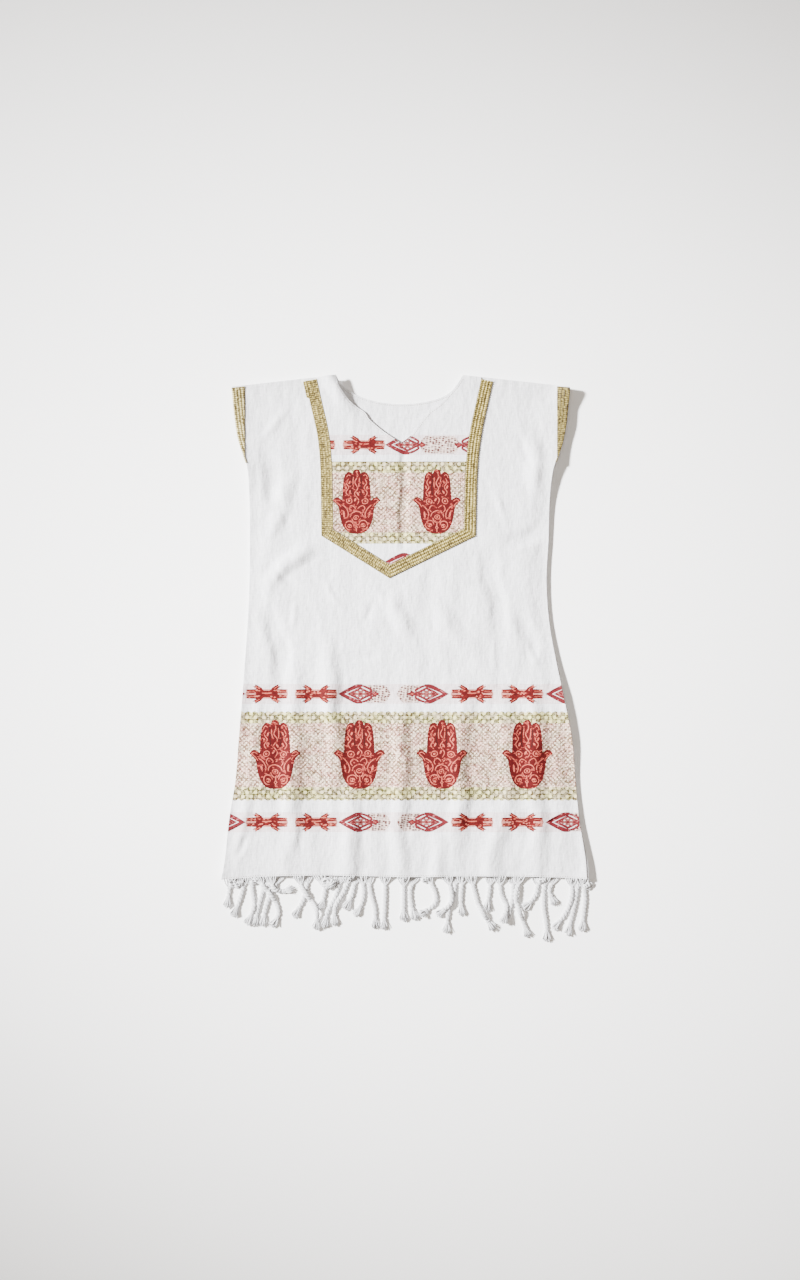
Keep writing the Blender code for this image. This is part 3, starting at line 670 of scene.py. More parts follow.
def lattice_material(name, grounds, lines, knot, pitch, centre, slack, strays):
    """Cotton with a supplementary weft: rows of rings with dark knots between, unevenly woven."""
    material, tree, place = start_material(name, 0.9, COTTON_SHEEN)
    threads, normal = weave(tree, place)
    centred = add_node(tree, "Mapping", {"Vector": place, "Location": (0.0, -centre, 0.0)})
    away, own = cells(tree, centred, pitch, pitch, slack, lean=-45.0)
    off_ring = add_node(tree, "Math", (away, RING_RADIUS), operation="SUBTRACT")
    off_ring = add_node(tree, "Math", (off_ring,), operation="ABSOLUTE")
    ring = add_node(tree, "MapRange", (off_ring, 0.06, 0.18, 1.0, 0.0))
    fleck = cells(tree, place, *FLOAT_MARK)[1]
    uneven = add_node(tree, "MapRange", (fleck, 0.1, 0.9, 0.4, 1.3))
    marks = add_node(tree, "Math", (ring, uneven), operation="MULTIPLY")
    slanting = streaks(tree, place, *SLANT_MARK, detail=1.0, lean=-52.0)
    slanting = add_node(tree, "MapRange", (slanting, 0.6, 0.7, 0.0, strays))
    specks = add_node(tree, "MapRange", (fleck, 0.72, 0.8, 0.0, 0.6 * strays))
    stray = add_node(tree, "Math", (slanting, specks), operation="MAXIMUM")
    marks = add_node(tree, "Math", (marks, stray), operation="MAXIMUM", use_clamp=True)
    patch = add_node(tree, "MapRange", (streaks(tree, place, *DYE_MARK), 0.42, 0.58))
    ground = add_node(tree, "Mix", {0: patch, 6: colour(grounds[0]), 7: colour(grounds[1])}, **MIX)
    dye = add_node(tree, "MapRange", (own, 0.3, 0.7))
    yarn = add_node(tree, "Mix", {0: dye, 6: colour(lines[0]), 7: colour(lines[1])}, **MIX)
    between = add_node(tree, "MapRange", (away, 0.54, 0.64))
    knots = add_node(tree, "Math", (between, uneven), operation="MULTIPLY", use_clamp=True)
    tint = add_node(tree, "Mix", {0: marks, 6: ground, 7: yarn}, **MIX)
    tint = add_node(tree, "Mix", {0: knots, 6: tint, 7: colour(knot)}, **MIX)
    grain = add_node(tree, "MapRange", (threads, 0.8, 1.2, 0.84, 1.0))
    tint = add_node(tree, "Mix", {0: 1.0, 6: tint, 7: grain}, blend_type="MULTIPLY", **MIX)
    return finish_material(material, tint, normal)


def dashed_material(name, ground, dash):
    """Cotton with short weft floats in loose rows, like small dashes."""
    material, tree, place = start_material(name, 0.9, COTTON_SHEEN)
    normal = weave(tree, place)[1]
    away, own = cells(tree, place, *DASH_MARK, looseness=0.5, lean=8.0)
    floats = add_node(tree, "MapRange", (away, 0.56, 0.28))
    strength = add_node(tree, "MapRange", (own, 0.1, 0.5, 0.45, 1.0))
    share = add_node(tree, "Math", (floats, strength), operation="MULTIPLY", use_clamp=True)
    tint = add_node(tree, "Mix", {0: share, 6: colour(ground), 7: colour(dash)}, **MIX)
    return finish_material(material, tint, normal)


# Floats of a motif, in millimetres: the ribs they lie in, patches of uneven dye, and odd flecks
RIB_MARK = (6.0, 0.9)
PATCH_MARK = (3.0, 2.4)
FLECK_MARK = (2.7, 1.8)


def float_material(name, light, deep, fleck, share):
    """Weft floats of dyed cotton, packed side by side: full colour, with odd flecks in it."""
    material, tree, place = start_material(name, 0.75)
    ribs = streaks(tree, place, *RIB_MARK)
    depth = add_node(tree, "Math", (ribs, streaks(tree, place, *PATCH_MARK)), operation="ADD")
    depth = add_node(tree, "MapRange", (depth, 0.76, 1.24))
    tint = add_node(tree, "Mix", {0: depth, 6: colour(deep), 7: colour(light)}, **MIX)
    own = cells(tree, place, *FLECK_MARK)[1]
    flecks = add_node(tree, "MapRange", (own, 1.0 - share, 1.02 - share))
    tint = add_node(tree, "Mix", {0: flecks, 6: tint, 7: colour(fleck)}, **MIX)
    normal = add_node(tree, "Bump", {"Height": ribs, "Strength": 0.5, "Distance": 0.25 * MM})
    return finish_material(material, tint, normal)


# Braid is knitted from metallised yarn: four ribs along it, each of small V stitches
RIB = 4.5
STITCH = 3.0
WORN_MARK = (9.0, 16.0)


def braid_material(name, light, mid, deep):
    """Knitted braid of gold yarn: pale loops in columns, painted lit at their middles, with painted
    shade in the gaps between, and a soft sheen.
    """
    material, tree, _ = start_material(name, 0.6, gloss=0.2)
    lie = add_node(tree, "UVMap", uv_map="lie")
    across = add_node(tree, "SeparateXYZ", (lie,), "X")
    rib = add_node(tree, "Math", (across, math.pi / RIB), operation="MULTIPLY")
    groove = add_node(tree, "Math", (rib,), operation="SINE")
    groove = add_node(tree, "Math", (groove,), operation="ABSOLUTE")
    away, own = cells(tree, lie, RIB, STITCH, looseness=0.3)
    # Painted light: each loop is lighter at its middle and darker toward its edge, and the grooves
    # between ribs get painted shade
    shade = add_node(tree, "MapRange", (away, 0.15, 0.58, 0.95, 0.0))
    uneven = add_node(tree, "MapRange", (own, 0.0, 1.0, -0.15, 0.15))
    gap = add_node(tree, "MapRange", (groove, 0.05, 0.5, -0.38, 0.04))
    worn = add_node(tree, "MapRange", (streaks(tree, lie, *WORN_MARK), 0.35, 0.65, -0.14, 0.14))
    shade = add_node(tree, "Math", (shade, uneven), operation="ADD")
    shade = add_node(tree, "Math", (shade, gap), operation="ADD")
    shade = add_node(tree, "Math", (shade, worn), operation="ADD", use_clamp=True)
    tint = add_node(tree, "ValToRGB", (shade,))
    ramp = tint.node.color_ramp
    ramp.elements[0].color = colour(deep)
    ramp.elements[1].color = colour(light)
    ramp.elements.new(0.45).color = colour(mid)
    normal = add_node(tree, "Bump", {"Height": shade, "Strength": 0.8, "Distance": 0.6 * MM})
    return finish_material(material, tint, normal)


# A cotton fibre is far finer. It is drawn this coarse, in millimetres, to show at this size
FIBRE_MARK = (1.4, 1.4)
PAPER_MARK = (3.0, 3.0)


def yarn_material(name, light, shade):
    """Twisted cotton yarn: matt, with fine fibres, the hollows between them darkened with painted
    shade.
    """
    material, tree, place = start_material(name, 0.95, sheen=0.2)
    fibres = streaks(tree, place, *FIBRE_MARK, detail=4.0)
    # Where the fibre noise is low the yarn takes the darker colour: painted shade in its hollows
    fullness = add_node(tree, "MapRange", (fibres, 0.35, 0.65))
    tint = add_node(tree, "Mix", {0: fullness, 6: colour(shade), 7: colour(light)}, **MIX)
    normal = add_node(tree, "Bump", {"Height": fibres, "Strength": 0.5, "Distance": 0.3 * MM})
    return finish_material(material, tint, normal)


def paper_material(name, light, shade):
    """Seamless studio paper: matt and pale, with the faintest grain."""
    material, tree, place = start_material(name, 0.9)
    grain = streaks(tree, place, *PAPER_MARK)
    tint = add_node(tree, "Mix", {0: grain, 6: colour(shade), 7: colour(light)}, **MIX)
    return finish_material(material, tint)


COTTON = cotton_material("white_handloom_cotton", "#DEDEE0", "#C8C8CC")
BLUSH_COTTON = cotton_material("white_cotton_with_blush_weft", "#D6CCCC", "#BBAEB1")
PINK_COTTON = cotton_material("cotton_with_red_weft_behind", "#B97B70", "#8A504A")
ROSE_LATTICE = lattice_material(
    "cotton_with_rose_lattice",
    grounds=("#E3CEB9", "#E2BEAE"),
    lines=("#60362A", "#5A4A2C"),
    knot="#2E2018",
    pitch=4.6,
    centre=0.0,
    slack=0.25,
    strays=1.0,
)
OLIVE_LATTICE = lattice_material(
    "cotton_with_olive_lattice",
    grounds=("#CEC78C", "#CBBE9C"),
    lines=("#3E3A16", "#46381C"),
    knot="#1E1808",
    pitch=8.8,
    centre=-88.5,
    slack=0.04,
    strays=0.2,
)
DASHED_COTTON = dashed_material("cotton_with_brown_dashes", "#CAB6AD", "#482220")
RED_FLOAT = float_material("red_cotton_weft_floats", "#500E0F", "#340909", "#8C3A32", 0.1)
STAR_FLOAT = float_material("red_floats_over_pale_cotton", "#5E1413", "#340A0B", "#A45A4C", 0.13)
CRIMSON_FLOAT = float_material("crimson_cotton_weft_floats", "#5E1B20", "#4C161A", "#8A4A4C", 0.1)
CREAM_FLOAT = float_material("cream_cotton_weft_floats", "#B45C4D", "#8E3E32", "#641A18", 0.16)
DARK_FLOAT = float_material("dark_cotton_weft_floats", "#380F0D", "#280A09", "#561814", 0.1)
FINISHES = [COTTON, BLUSH_COTTON, PINK_COTTON, ROSE_LATTICE, OLIVE_LATTICE, DASHED_COTTON]
FINISHES += [RED_FLOAT, STAR_FLOAT, CRIMSON_FLOAT, CREAM_FLOAT, DARK_FLOAT]

# A motif is a flat shape in the cloth's colours. Each one covers those before it
Motif = namedtuple("Motif", "shape finish")


# A drawn line's width at its ends, as a share, and the share's rise over the line's length
TIP_SHARE = 0.35
TIP_RISE = 6


def stroke(points, width, finish):
    """Turn a smooth line into a narrow shape with tapered ends."""
    line = curve_through(points)
    place = np.linspace(0.0, 1.0, len(line))
    share = np.minimum(1.0, TIP_SHARE + TIP_RISE * np.minimum(place, 1 - place))
    half = width / 2 * share[:, None]
    reach = directions(line)[1] * half
    return Motif(np.vstack([line + reach, (line - reach)[::-1]]), finish)


def oval(centre, across, high, finish, lean=0.0, sides=14):
    """Make an oval, leaning by some degrees."""
    turn = np.arange(sides) * 2 * math.pi / sides
    x, y = across * np.cos(turn), high * np.sin(turn)
    c, s = math.cos(math.radians(lean)), math.sin(math.radians(lean))
    return Motif(np.column_stack([centre[0] + c * x - s * y, centre[1] + s * x + c * y]), finish)


def lozenge(centre, across, high, finish):
    """Make a lozenge from its two half widths."""
    return oval(centre, across, high, finish, sides=4)


def spiral_points(centre, outer, inner, turns, start):
    """List points on a spiral that winds in."""
    place = np.linspace(0.0, 1.0, round(8 * turns) + 1)
    angle = math.radians(start) + place * turns * 2 * math.pi
    radius = outer + (inner - outer) * place
    return np.column_stack([centre[0] + radius * np.cos(angle), centre[1] + radius * np.sin(angle)])


def flipped(motifs, x=-1.0, y=1.0):
    """Mirror motifs across their middle."""
    return [Motif(motif.shape * (x, y), motif.finish) for motif in motifs]


def placed(motifs, x, y, size=1.0, mirror=1.0):
    """Set motifs at a place in the cloth."""
    return [Motif(motif.shape * (size * mirror, size) + (x, y), motif.finish) for motif in motifs]


# The right half of the hand, from the middle of its foot to the tip of its middle finger
HAND_RUNS = [
    [(0, 0), (11, 1.8), (20, 9.5), (25.6, 23), (28.4, 40), (31, 46.5), (38.6, 53.4)],
    [(38.6, 53.4), (35.2, 57.4), (30.2, 59), (23, 54)],
    [(23, 54), (22.4, 70), (21.2, 84), (19, 94), (13.8, 99.4), (9, 98.6), (6.8, 95.8)],
    [(6.8, 95.8), (5.6, 99.8), (3.4, 102.8), (0, 103.8)],
]


def worked_by_hand(motifs, phase):
    """Let small shapes wander a little, as no two hands are woven quite alike."""
    moved = []
    for motif in motifs:
        x, y = motif.shape.T
        across = waves([Wave(0.7, math.inf, 9, phase), Wave(0.4, 5, math.inf, 2 * phase)], x, y)
        up = waves([Wave(0.7, 6, -15, 3 * phase)], x, y)
        moved.append(Motif(motif.shape + np.column_stack([across, up]), motif.finish))
    return moved


def hand(phase):
    """Make the hand: red, with rosettes and tendrils worked over it in cream."""
    half = np.vstack([curve_through(run)[:-1] for run in HAND_RUNS] + [HAND_RUNS[-1][-1:]])
    outline = np.vstack([half, (half * (-1, 1))[-2:0:-1]])
    pair = [
        stroke([(25.4, 43), (29, 48.6), (34.4, 53.2), (30.4, 55.4), (26.2, 52.8)], 1.2, CREAM_FLOAT),
        stroke([(17.6, 89), (15.8, 93), (13.2, 95), (10.2, 93)], 1.1, CREAM_FLOAT),
        stroke(spiral_points((10.8, 14.4), 7.4, 6.6, 0.8, -110), 1.5, CREAM_FLOAT),
        oval((10.6, 13.4), 3.6, 3.2, CREAM_FLOAT),
        oval((9.0, 12.8), 1.2, 1.2, RED_FLOAT, sides=7),
        oval((12.2, 13.8), 1.3, 1.3, DARK_FLOAT, sides=7),
        stroke([(15.6, 24.6), (13.4, 31), (15.6, 38), (20.4, 43.6), (25, 46.6)], 1.5, CREAM_FLOAT),
        oval((20.4, 31.4), 1.5, 5.6, CREAM_FLOAT, -10),
        stroke([(9.4, 35.0), (12.4, 40.4), (9.4, 45.4), (4.6, 44.2), (1.4, 40.8)], 1.4, CREAM_FLOAT),
        oval((12.6, 52.6), 5.4, 5.0, CREAM_FLOAT),
        oval((12.6, 52.6), 4.1, 3.7, RED_FLOAT),
        oval((12.8, 52.6), 1.9, 1.7, CREAM_FLOAT),
        stroke([(13.2, 60), (17, 66.6), (12.2, 74.4), (16.2, 82), (13, 89)], 1.4, CREAM_FLOAT),
        oval((10.8, 66.6), 1.4, 3.1, CREAM_FLOAT, 28),
        oval((17.0, 74.6), 1.4, 2.8, CREAM_FLOAT, -22),
        oval((10.9, 82.4), 1.3, 2.8, CREAM_FLOAT, 24),
        stroke([(7.0, 94.6), (7.6, 84), (7.8, 73), (6.4, 62)], 1.7, DARK_FLOAT),
        stroke([(4.7, 91), (4.9, 82), (4.0, 75)], 1.4, CREAM_FLOAT),
        stroke([(1.6, 18.0), (4.6, 20.6), (6.8, 25.4)], 1.5, CREAM_FLOAT),
    ]
    vine = [(0, 47), (3.2, 55), (-2.8, 64), (2.6, 73), (-1.8, 82), (1.4, 91), (0, 99)]
    middle = [
        stroke([(-10.2, 27), (-7.8, 33.4), (0, 36.8), (7.8, 33.4), (10.2, 27)], 1.5, CREAM_FLOAT),
        oval((0, 26.8), 4.5, 3.8, CREAM_FLOAT),
        oval((0, 26.8), 3.3, 2.7, RED_FLOAT),
        oval((0, 26.8), 1.5, 1.3, CREAM_FLOAT),
        stroke([(0, 20), (0, 12), (0, 3.2)], 1.5, CREAM_FLOAT),
        lozenge((0, 10.4), 2.6, 3.6, CREAM_FLOAT),
        lozenge((0, 10.4), 1.1, 1.6, DARK_FLOAT),
        stroke(vine, 1.4, CREAM_FLOAT),
        oval((-2.4, 55), 1.4, 3.1, CREAM_FLOAT, -28),
        oval((2.4, 64.6), 1.4, 3.1, CREAM_FLOAT, 28),
        oval((0, 99.2), 1.4, 1.6, CREAM_FLOAT, sides=7),
    ]
    worked = worked_by_hand(pair + flipped(pair) + middle, phase)
    return [Motif(outline, RED_FLOAT)] + worked


def star():
    """Make the long star: two hubs joined by a bar, with forked rays and slanting legs."""
    lower = [(-16.6, -1.8), (-15, -6.4), (-9, -8.2), (-4, -5.0)]
    lower += [(-x, y) for x, y in lower[::-1]]
    body = np.array(lower + [(-x, -y) for x, y in lower], float)
    ray = np.array([(10, 1.2), (21, 1.2), (31, 1.9), (28.6, 3.9), (31.8, 6.2), (21, 7.2), (10, 7.6)])
    leg = np.array([(4.8, 4.6), (12.2, 4.8), (21.6, 11.4), (17.8, 11.6), (17.0, 14.6), (7.6, 9.4)])
    quarter = [
        Motif(leg, STAR_FLOAT),
        stroke([(9.4, 6.8), (13.2, 9.4), (17.4, 11.8)], 0.9, CREAM_FLOAT),
        Motif(ray, STAR_FLOAT),
        stroke([(18, 4.1), (23, 4.2), (28, 3.9)], 0.7, CREAM_FLOAT),
    ]
    half = quarter + flipped(quarter, 1.0, -1.0)
    behind = np.array([(-30, -7), (30, -7), (32, 0), (30, 7), (-30, 7), (-32, 0)], float)
    inner = [
        stroke([(-7.2, 1.4), (0, 0.9), (7.4, 1.5)], 1.7, CREAM_FLOAT),
        oval((-11.2, 0.4), 3.2, 3.0, RED_FLOAT),
        oval((11.2, -0.4), 3.2, 3.0, RED_FLOAT),
        lozenge((-11.4, 4.8), 2.4, 1.1, CREAM_FLOAT),
        lozenge((11.8, -5.0), 2.4, 1.1, CREAM_FLOAT),
    ]
    return [Motif(behind, PINK_COTTON)] + half + flipped(half) + [Motif(body, STAR_FLOAT)] + inner


# The middle of the diamond's net, and the way from one of its small lozenges to the next
NET_MIDDLE = 33.8
NET_PITCH = Point(5.0, 2.7)


def diamond():
    """Make the diamond from its tip: two thick bars, then a net of lozenges and a loose one."""
    bar = [(0, 0), (12, 7.2), (24.6, 13.6), (29, 14.8), (36.6, 14.6), (37.8, 11.0)]
    bar += [(31, 9.2), (20, 4.7), (10.2, 0)]
    side = [
        Motif(np.array(bar, float), CRIMSON_FLOAT),
        stroke([(36.4, 12.2), (43.6, 9.6), (50.2, 5.2), (47.4, 0.8)], 3.4, CRIMSON_FLOAT),
    ]
    kite = [(0, 0), (29, 14), (38, 12), (52, 0), (38, -12), (29, -14)]
    net = [
        Motif(np.array(kite, float), BLUSH_COTTON),
        lozenge((NET_MIDDLE, 0), 21.2, 10.4, CRIMSON_FLOAT),
        lozenge((NET_MIDDLE, 0), 15.2, 7.2, PINK_COTTON),
    ]
    for row in range(3):
        for place in range(3):
            centre = (NET_MIDDLE + NET_PITCH.x * (row + place - 2), NET_PITCH.y * (row - place))
            net.append(lozenge(centre, 4.6, 2.4, CRIMSON_FLOAT))
            if row != place:
                net.append(lozenge(centre, 2.2, 1.1, BLUSH_COTTON))
    loose = [lozenge((55.4, 0), 7.6, 4.4, CRIMSON_FLOAT), lozenge((55.4, 0), 2.8, 1.2, CREAM_FLOAT)]
    return net + side + flipped(side, 1.0, -1.0) + loose


def dashed_patch(reach):
    """Make a six-sided patch of small dashes."""
    half = [(-reach, 0), (-reach + 5, 9), (-reach + 10, 13)]
    half += [(-x, y) for x, y in half[::-1]]
    return [Motif(np.array(half + [(x, -y) for x, y in half[-2:0:-1]], float), DASHED_COTTON)]


SCALLOP = 10.0
SCALLOP_DEPTH = 2.4
BAND_REACH = 300.0
BAND_POINTS = 241


def band(foot, top, finish, scallops=(0.0, 0.0)):
    """Make a band across the whole cloth, its foot and top straight or in low scallops."""
    x = np.linspace(-BAND_REACH, BAND_REACH, BAND_POINTS)
    wave = 1 - np.abs(np.sin(math.pi * x / SCALLOP))
    lower = np.column_stack([x, foot + scallops[0] * wave])
    upper = np.column_stack([x, top - scallops[1] * wave])[::-1]
    return [Motif(np.vstack([lower, upper]), finish)]


# The rose lattice stops this far inside its border's edges, under the olive rows, and these
# overlap the edges by this much
TUCK = 3.0
OVERLAP = 1.0


def panel_borders():
    """List the borders woven across a panel."""
    motifs = []
    for height in (UPPER_STARS, LOWER_STARS):
        motifs += band(height - STAR_BAND / 2, height + STAR_BAND / 2, BLUSH_COTTON)
        for x, reach in DASHED_PATCHES:
            motifs += placed(dashed_patch(reach), x, height)
        for x in STARS:
            motifs += placed(star(), x, height)
        for x in DIAMOND_TIPS_LEFT:
            motifs += placed(diamond(), x, height)
        for x in DIAMOND_TIPS_RIGHT:
            motifs += placed(diamond(), x, height, mirror=-1.0)
    motifs += band(LATTICE_FOOT + TUCK, LATTICE_TOP - TUCK, ROSE_LATTICE)
    low, high = LATTICE_TOP - OLIVE_TOP_ROW, LATTICE_TOP + OVERLAP
    motifs += band(low, high, OLIVE_LATTICE, (0.0, SCALLOP_DEPTH))
    low, high = LATTICE_FOOT - OVERLAP, LATTICE_FOOT + OLIVE_FOOT_ROW
    motifs += band(low, high, OLIVE_LATTICE, (SCALLOP_DEPTH, 0.0))
    for phase, x in enumerate(HANDS):
        motifs += placed(hand(phase), x, HAND_FOOT)
    return motifs


# The plastron's hands start at a phase of their own, so that they aren't the panel's hands again
PLASTRON_PHASE = 2.5


def plastron_borders():
    """List the borders woven across the plastron."""
    motifs = band(PLASTRON_STARS - STAR_BAND / 2, PLASTRON_STARS + STAR_BAND / 2, BLUSH_COTTON)
    motifs += placed(dashed_patch(PLASTRON_PATCH_REACH), PLASTRON_PATCH, PLASTRON_STARS)
    for x in PLASTRON_STAR_CENTRES:
        motifs += placed(star(), x, PLASTRON_STARS)
    motifs += placed(diamond(), PLASTRON_TIP_LEFT, PLASTRON_STARS)
    motifs += placed(diamond(), PLASTRON_TIP_RIGHT, PLASTRON_STARS, mirror=-1.0)
    motifs += band(PLASTRON_LATTICE_FOOT, PLASTRON_LATTICE_TOP, ROSE_LATTICE)
    motifs += band(PLASTRON_LATTICE_TOP - OLIVE_TOP_ROW, PLASTRON_LATTICE_TOP, OLIVE_LATTICE)
    motifs += band(PLASTRON_LATTICE_FOOT, PLASTRON_LATTICE_FOOT + OLIVE_TOP_ROW, OLIVE_LATTICE)
    for phase, x in enumerate(PLASTRON_HANDS):
        motifs += placed(hand(phase + PLASTRON_PHASE), x, PLASTRON_HAND_FOOT, PLASTRON_HAND_SIZE)
    motifs += placed(diamond(), PLASTRON_FOOT_TIP, PLASTRON_FOOT_STARS)
    return motifs


# A panel's top line jumps at its corners, so it is read a hair inside them
HAIR = 1e-6

# How many places are read on each run of a line, before it is measured off in even steps
NECK_PLACES = 120
HEM_PLACES = 200
SIDE_PLACES = 300
TOP_PLACES = 400
PLASTRON_TOP_PLACES = 300
SHOULDER_PLACES = 20


def top_run(top_line, start, end, count):
    """List places on a piece's top line, from a corner to the next one on its left."""
    x = np.linspace(start, end, count)
    return np.column_stack([x, top_line(np.clip(x, end + HAIR, start - HAIR))])


def hem_corner(edges, side):
    """Give the height where a side edge meets the hem, found by going back and forth."""
    y = HEM[0].y
    for _ in range(8):
        y = float(hem_line(edges(y)[side]))
    return y


def panel_outline(edges, top_line, corners, step):
    """List the closed outline of a panel, from the left end of its hem and round to it."""
    feet = [hem_corner(edges, 0), hem_corner(edges, 1)]
    left_x, right_x = float(edges(feet[0])[0]), float(edges(feet[1])[1])
    hem_x = np.linspace(left_x, right_x, HEM_PLACES)
    runs = [np.column_stack([hem_x, hem_line(hem_x)])]
    heights = np.linspace(feet[1], CAP_RIGHT.y, SIDE_PLACES)
    runs.append(np.column_stack([edges(heights)[1], heights]))
    for start, end in zip(corners, corners[1:]):
        runs.append(top_run(top_line, start, end, TOP_PLACES))
    heights = np.linspace(CAP_LEFT.y, feet[0], SIDE_PLACES)
    runs.append(np.column_stack([edges(heights)[0], heights]))
    return np.vstack([resample(run, step)[:-1] for run in runs])


# The net's points keep this share of a step away from the outline's own
NET_CLEARANCE = 0.6


def inner_points(outline, step):
    """Scatter an even net of points inside an outline, clear of the outline's own points."""
    low, high = outline.min(axis=0), outline.max(axis=0)
    rows = np.arange(low[1] + step / 2, high[1], step)
    columns = np.arange(low[0] + step / 2, high[0], step)
    net = [(x + step / 2 * (i % 2), y) for i, y in enumerate(rows) for x in columns]
    net = np.array(net)
    inside = np.zeros(len(net), bool)
    for (ax, ay), (bx, by) in zip(outline, np.roll(outline, -1, axis=0)):
        spans = (ay > net[:, 1]) != (by > net[:, 1])
        if ay != by:
            inside ^= spans & (net[:, 0] < ax + (net[:, 1] - ay) * (bx - ax) / (by - ay))
    clear = np.ones(len(net), bool)
    for x, y in outline:
        away = (net[:, 0] - x) ** 2 + (net[:, 1] - y) ** 2
        clear &= away > (NET_CLEARANCE * step) ** 2
    return net[inside & clear]


# The way to each side over which a surface's slope is read
SLOPE_REACH = 0.5


def face_normals(height, x, y):
    """Give the upward normals of a surface from its slopes."""
    reach = SLOPE_REACH
    along = (height(x + reach, y) - height(x - reach, y)) / (2 * reach)
    up = (height(x, y + reach) - height(x, y - reach)) / (2 * reach)
    normals = np.column_stack([-along, -up, np.ones(len(x))])
    return normals / np.linalg.norm(normals, axis=1)[:, None]


# Points closer than this are one point
MERGED = 0.01


def cut_motifs(outline, step, motifs):
    """Divide a piece into triangles along the edges of its motifs, each with its finish."""
    points = [*outline, *inner_points(outline, step)]
    shapes = [list(range(len(outline)))]
    for motif in motifs:
        shape = motif.shape if signed_area(motif.shape) > 0 else motif.shape[::-1]
        shapes.append(list(range(len(points), len(points) + len(shape))))
        points.extend(shape)
    flat = [Vector((float(x), float(y))) for x, y in points]
    corners, _, triangles, _, _, sources = delaunay_2d_cdt(flat, [], shapes, 1, MERGED)
    finish_of = [0] + [FINISHES.index(motif.finish) for motif in motifs]
    kept = [(tri, finish_of[max(ids)]) for tri, ids in zip(triangles, sources) if 0 in ids]
    used, order = np.unique([tri for tri, _ in kept], return_inverse=True)
    places = np.array([tuple(corners[i]) for i in used])
    return places, order.reshape(-1, 3), [finish for _, finish in kept]


def open_edges(triangles, count):
    """List the edges that only one triangle has, which run round a piece."""
    sides = np.vstack([triangles[:, [0, 1]], triangles[:, [1, 2]], triangles[:, [2, 0]]])
    keys = np.sort(sides, axis=1) @ (count, 1)
    _, first, times = np.unique(keys, return_index=True, return_counts=True)
    return sides[first[times == 1]]


def smooth_mesh(name, places, faces, materials):
    """Make a mesh, shaded smooth, from places in millimetres."""
    mesh = bpy.data.meshes.new(name)
    mesh.from_pydata((np.vstack(places) * MM).tolist(), [], faces)
    mesh.polygons.foreach_set("use_smooth", [True] * len(faces))
    for material in materials:
        mesh.materials.append(material)
    return mesh


def finish_piece(name, mesh):
    """Add a mesh to the scene and let it ride on the garment."""
    piece = bpy.data.objects.new(name, mesh)
    bpy.context.scene.collection.objects.link(piece)
    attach(piece, "root")
    return piece


def woven_shell(name, outline, step, motifs, height):
    """Weave a piece: a thin shell over its outline, with each motif cut into its faces."""
    places, tops, finishes = cut_motifs(outline, step, motifs)
    x, y = places.T
    upper = np.column_stack([x, y, height(x, y)])
    count = len(upper)
    rim = open_edges(tops, count)
    faces = tops.tolist() + (tops[:, ::-1] + count).tolist()
    faces += [[b, a, a + count, b + count] for a, b in rim.tolist()]
    mesh = smooth_mesh(name, [upper, upper - (0, 0, SHELL_WALL)], faces, FINISHES)
    mesh.polygons.foreach_set("material_index", finishes + finishes + [0] * len(rim))
    up = face_normals(height, x, y)
    run = upper[rim[:, 1]] - upper[rim[:, 0]]
    outward = np.column_stack([run[:, 1], -run[:, 0], np.zeros(len(rim))])
    outward /= np.linalg.norm(outward, axis=1)[:, None]
    normals = [up[tops.ravel()], -up[tops[:, ::-1].ravel()], np.repeat(outward, 4, axis=0)]
    mesh.normals_split_custom_set(np.vstack(normals).tolist())
    return finish_piece(name, mesh)


# A tube round a line of points, whose height is its width times its flatness
Tube = namedtuple("Tube", "points radii sides flatness", defaults=(1.0,))


def across_line(line):
    """Give a line's direction at each point, a level direction across it and one upward."""
    ahead = np.gradient(line, axis=0)
    ahead /= np.maximum(np.linalg.norm(ahead, axis=1), 1e-9)[:, None]
    side = np.cross(ahead, (0.0, 0.0, 1.0))
    side[np.linalg.norm(side, axis=1) < 1e-3] = (1.0, 0.0, 0.0)
    side /= np.linalg.norm(side, axis=1)[:, None]
    return ahead, side, np.cross(side, ahead)


def tube_mesh(name, tubes, material):
    """Join many thin tubes into one mesh."""
    verts, faces, base = [], [], 0
    for tube in tubes:
        line = np.array(tube.points, float)
        _, side, up = across_line(line)
        turn = (np.arange(tube.sides) * 2 * math.pi / tube.sides)[None, :, None]
        radii = np.broadcast_to(np.array(tube.radii, float), (len(line),))[:, None, None]
        round_it = np.cos(turn) * side[:, None] + np.sin(turn) * tube.flatness * up[:, None]
        verts.append((line[:, None] + round_it * radii).reshape(-1, 3))
        ring = np.arange(tube.sides)
        onward = np.roll(ring, -1)
        for i in range(len(line) - 1):
            a, b = base + i * tube.sides, base + (i + 1) * tube.sides
            faces += np.column_stack([a + ring, b + ring, b + onward, a + onward]).tolist()
        faces.append((base + ring).tolist())
        faces.append((base + (len(line) - 1) * tube.sides + ring[::-1]).tolist())
        base += len(line) * tube.sides
    return finish_piece(name, smooth_mesh(name, verts, faces, [material]))


def braid_stretches(step):
    """List the braid's four straight stretches, each with its two mitres' half turns."""
    low, high = STRAPS[0].y, STRAPS[-1].y
    heights = np.linspace(low, high, round((high - low) / step))
    left = np.column_stack([read_off(STRAPS, "y", "left", heights), heights])[::-1]
    right = np.column_stack([read_off(STRAPS, "y", "right", heights), heights])
    tip = np.array(BRAID_TIP, float)
    lines = [left, resample([left[-1], tip], step), resample([tip, right[0]], step), right]
    turns = [0.0]
    for before, after in zip(lines, lines[1:]):
        behind, ahead = before[-1] - before[-2], after[1] - after[0]
        turns.append((math.atan2(ahead[1], ahead[0]) - math.atan2(behind[1], behind[0])) / 2)
    turns.append(0.0)
    return [(line, turns[i], turns[i + 1]) for i, line in enumerate(lines)]


# The way from a mitre over which the braid's rows turn to lie along it
MITRE_REACH = 40.0


